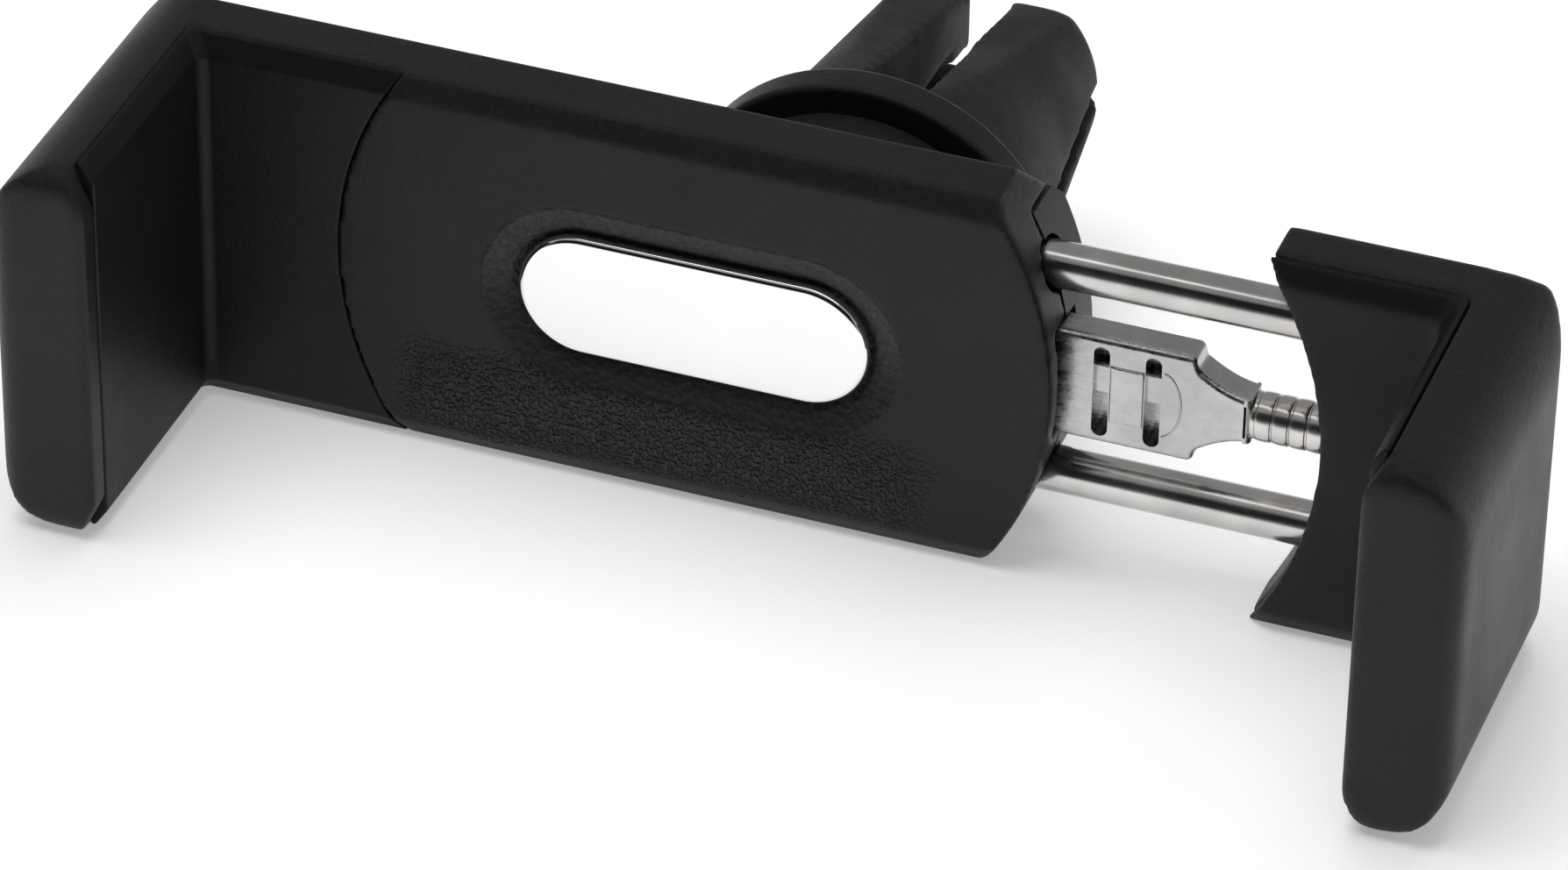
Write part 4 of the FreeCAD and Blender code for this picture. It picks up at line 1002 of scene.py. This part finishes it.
def soft_lamp(name, place, aim, width, height, power, mirrored=True):
    """Rectangular lamp turned to its aim; unmirrored, it doesn't show in bright metal."""
    data = bpy.data.lights.new(name, "AREA")
    data.shape = "RECTANGLE"
    data.size = width
    data.size_y = height
    data.energy = power
    lamp = bpy.data.objects.new(name, data)
    turn = (Vector(aim) - Vector(place)).to_track_quat("-Z", "Y").to_matrix().to_4x4()
    lamp.matrix_world = Matrix.Translation(place) @ turn
    lamp.visible_glossy = mirrored
    bpy.context.scene.collection.objects.link(lamp)


def dark_card(elevation, distance, width, height):
    """Black card above the camera: the dark band that bright rods show under their highlight."""
    finish = Finish("dark_card")
    tone = finish.noise(4.0, 2.0, 0.5)
    material = finish.done({
        "Base Color": finish.mix(tone, (0.010, 0.010, 0.010, 1.0), (0.016, 0.016, 0.016, 1.0)),
        "Roughness": tone.band(0.3, 0.7, 0.85, 0.9),
        "Specular IOR Level": 0.0,
    })
    outward = Vector((0.0, -math.cos(elevation), math.sin(elevation)))
    across = Vector((1.0, 0.0, 0.0)) * (width / 2)
    upward = Vector((0.0, math.sin(elevation), math.cos(elevation))) * (height / 2)
    middle = outward * distance
    corners = [middle - across - upward, middle + across - upward,
               middle + across + upward, middle - across + upward]
    mesh = bpy.data.meshes.new("dark_card")
    mesh.from_pydata([tuple(corner) for corner in corners], [], [(3, 2, 1, 0)])
    mesh.materials.append(material)
    card = bpy.data.objects.new("dark_card", mesh)
    bpy.context.scene.collection.objects.link(card)


def white_world(settings):
    """White where it is seen, and a plain level of light elsewhere."""
    world = bpy.data.worlds.new("white_studio")
    world.use_nodes = True
    tree = world.node_tree
    tree.nodes.clear()
    rays = tree.nodes.new("ShaderNodeLightPath")
    level = tree.nodes.new("ShaderNodeMapRange")
    level.inputs["To Min"].default_value = settings.ambient
    level.inputs["To Max"].default_value = 1.0
    tree.links.new(rays.outputs["Is Camera Ray"], level.inputs["Value"])
    sky = tree.nodes.new("ShaderNodeBackground")
    sky.inputs["Color"].default_value = (1.0, 1.0, 1.0, 1.0)
    tree.links.new(level.outputs[0], sky.inputs["Strength"])
    output = tree.nodes.new("ShaderNodeOutputWorld")
    tree.links.new(sky.outputs[0], output.inputs["Surface"])
    bpy.context.scene.world = world


def pale_floor(settings):
    """Level white floor under the holder, itself a little bright so that its shadows stay soft."""
    finish = Finish("pale_floor")
    tone = finish.noise(3.0, 2.0, 0.5)
    material = finish.done({
        "Base Color": finish.mix(tone, (0.73, 0.73, 0.73, 1.0), (0.75, 0.75, 0.75, 1.0)),
        "Roughness": tone.band(0.3, 0.7, 0.75, 0.8),
        "Emission Color": (1.0, 1.0, 1.0, 1.0),
        "Emission Strength": settings.floor_lift,
        "Specular IOR Level": 0.0,
    })
    bm = bmesh.new()
    bmesh.ops.create_grid(bm, x_segments=8, y_segments=8, size=3.0)
    mesh = bpy.data.meshes.new("pale_floor")
    bm.to_mesh(mesh)
    bm.free()
    mesh.materials.append(material)
    floor = bpy.data.objects.new("pale_floor", mesh)
    bpy.context.scene.collection.objects.link(floor)


class HOLDER_OT_studio(bpy.types.Operator):
    """White floor, soft lamps, plain world and the camera"""

    bl_idname = "holder.studio"
    bl_label = "Studio"

    def execute(self, context):
        settings = context.scene.holder_studio
        context.scene.view_settings.view_transform = "Standard"
        white_world(settings)
        pale_floor(settings)
        aim = (0.0, 0.0, 0.01)
        soft_lamp("overhead", (-0.10, 0.05, 0.80), aim, 0.8, 0.5, settings.key_power, False)
        soft_lamp("strip", (-0.05, -0.22, 0.80), aim, 1.3, 0.10, settings.strip_power)
        soft_lamp("right_side", (1.0, 0.25, 0.55), aim, 0.5, 0.6, settings.strip_power * 1.15)
        dark_card(elevation=math.radians(27.0), distance=1.25, width=3.0, height=0.95)
        studio_camera(settings)
        return {"FINISHED"}


class HOLDER_PT_panel(bpy.types.Panel):
    """Sizes, colours and steps of the holder"""

    bl_label = "Phone Holder"
    bl_idname = "HOLDER_PT_panel"
    bl_space_type = "VIEW_3D"
    bl_region_type = "UI"
    bl_category = "Holder"

    def draw(self, context):
        layout = self.layout
        for group in (context.scene.holder_finish, context.scene.holder_studio):
            column = layout.column(align=True)
            for key in group.__annotations__:
                column.prop(group, key)
        for step in STEPS:
            layout.operator(step.bl_idname)


STEPS = (
    HOLDER_OT_finishes,
    HOLDER_OT_housing,
    HOLDER_OT_moving_jaw,
    HOLDER_OT_badge,
    HOLDER_OT_rods,
    HOLDER_OT_link,
    HOLDER_OT_neck,
    HOLDER_OT_screws,
    HOLDER_OT_vent_clip,
    HOLDER_OT_studio,
)
CLASSES = (HolderFinish, StudioSettings, *STEPS, HOLDER_PT_panel)


def register():
    for cls in CLASSES:
        bpy.utils.register_class(cls)
    bpy.types.Scene.holder_finish = PointerProperty(type=HolderFinish)
    bpy.types.Scene.holder_studio = PointerProperty(type=StudioSettings)


def unregister():
    del bpy.types.Scene.holder_studio
    del bpy.types.Scene.holder_finish
    for cls in reversed(CLASSES):
        bpy.utils.unregister_class(cls)


def main():
    register()
    for step in STEPS:
        group, name = step.bl_idname.split(".")
        getattr(getattr(bpy.ops, group), name)()


if __name__ == "__main__":
    main()
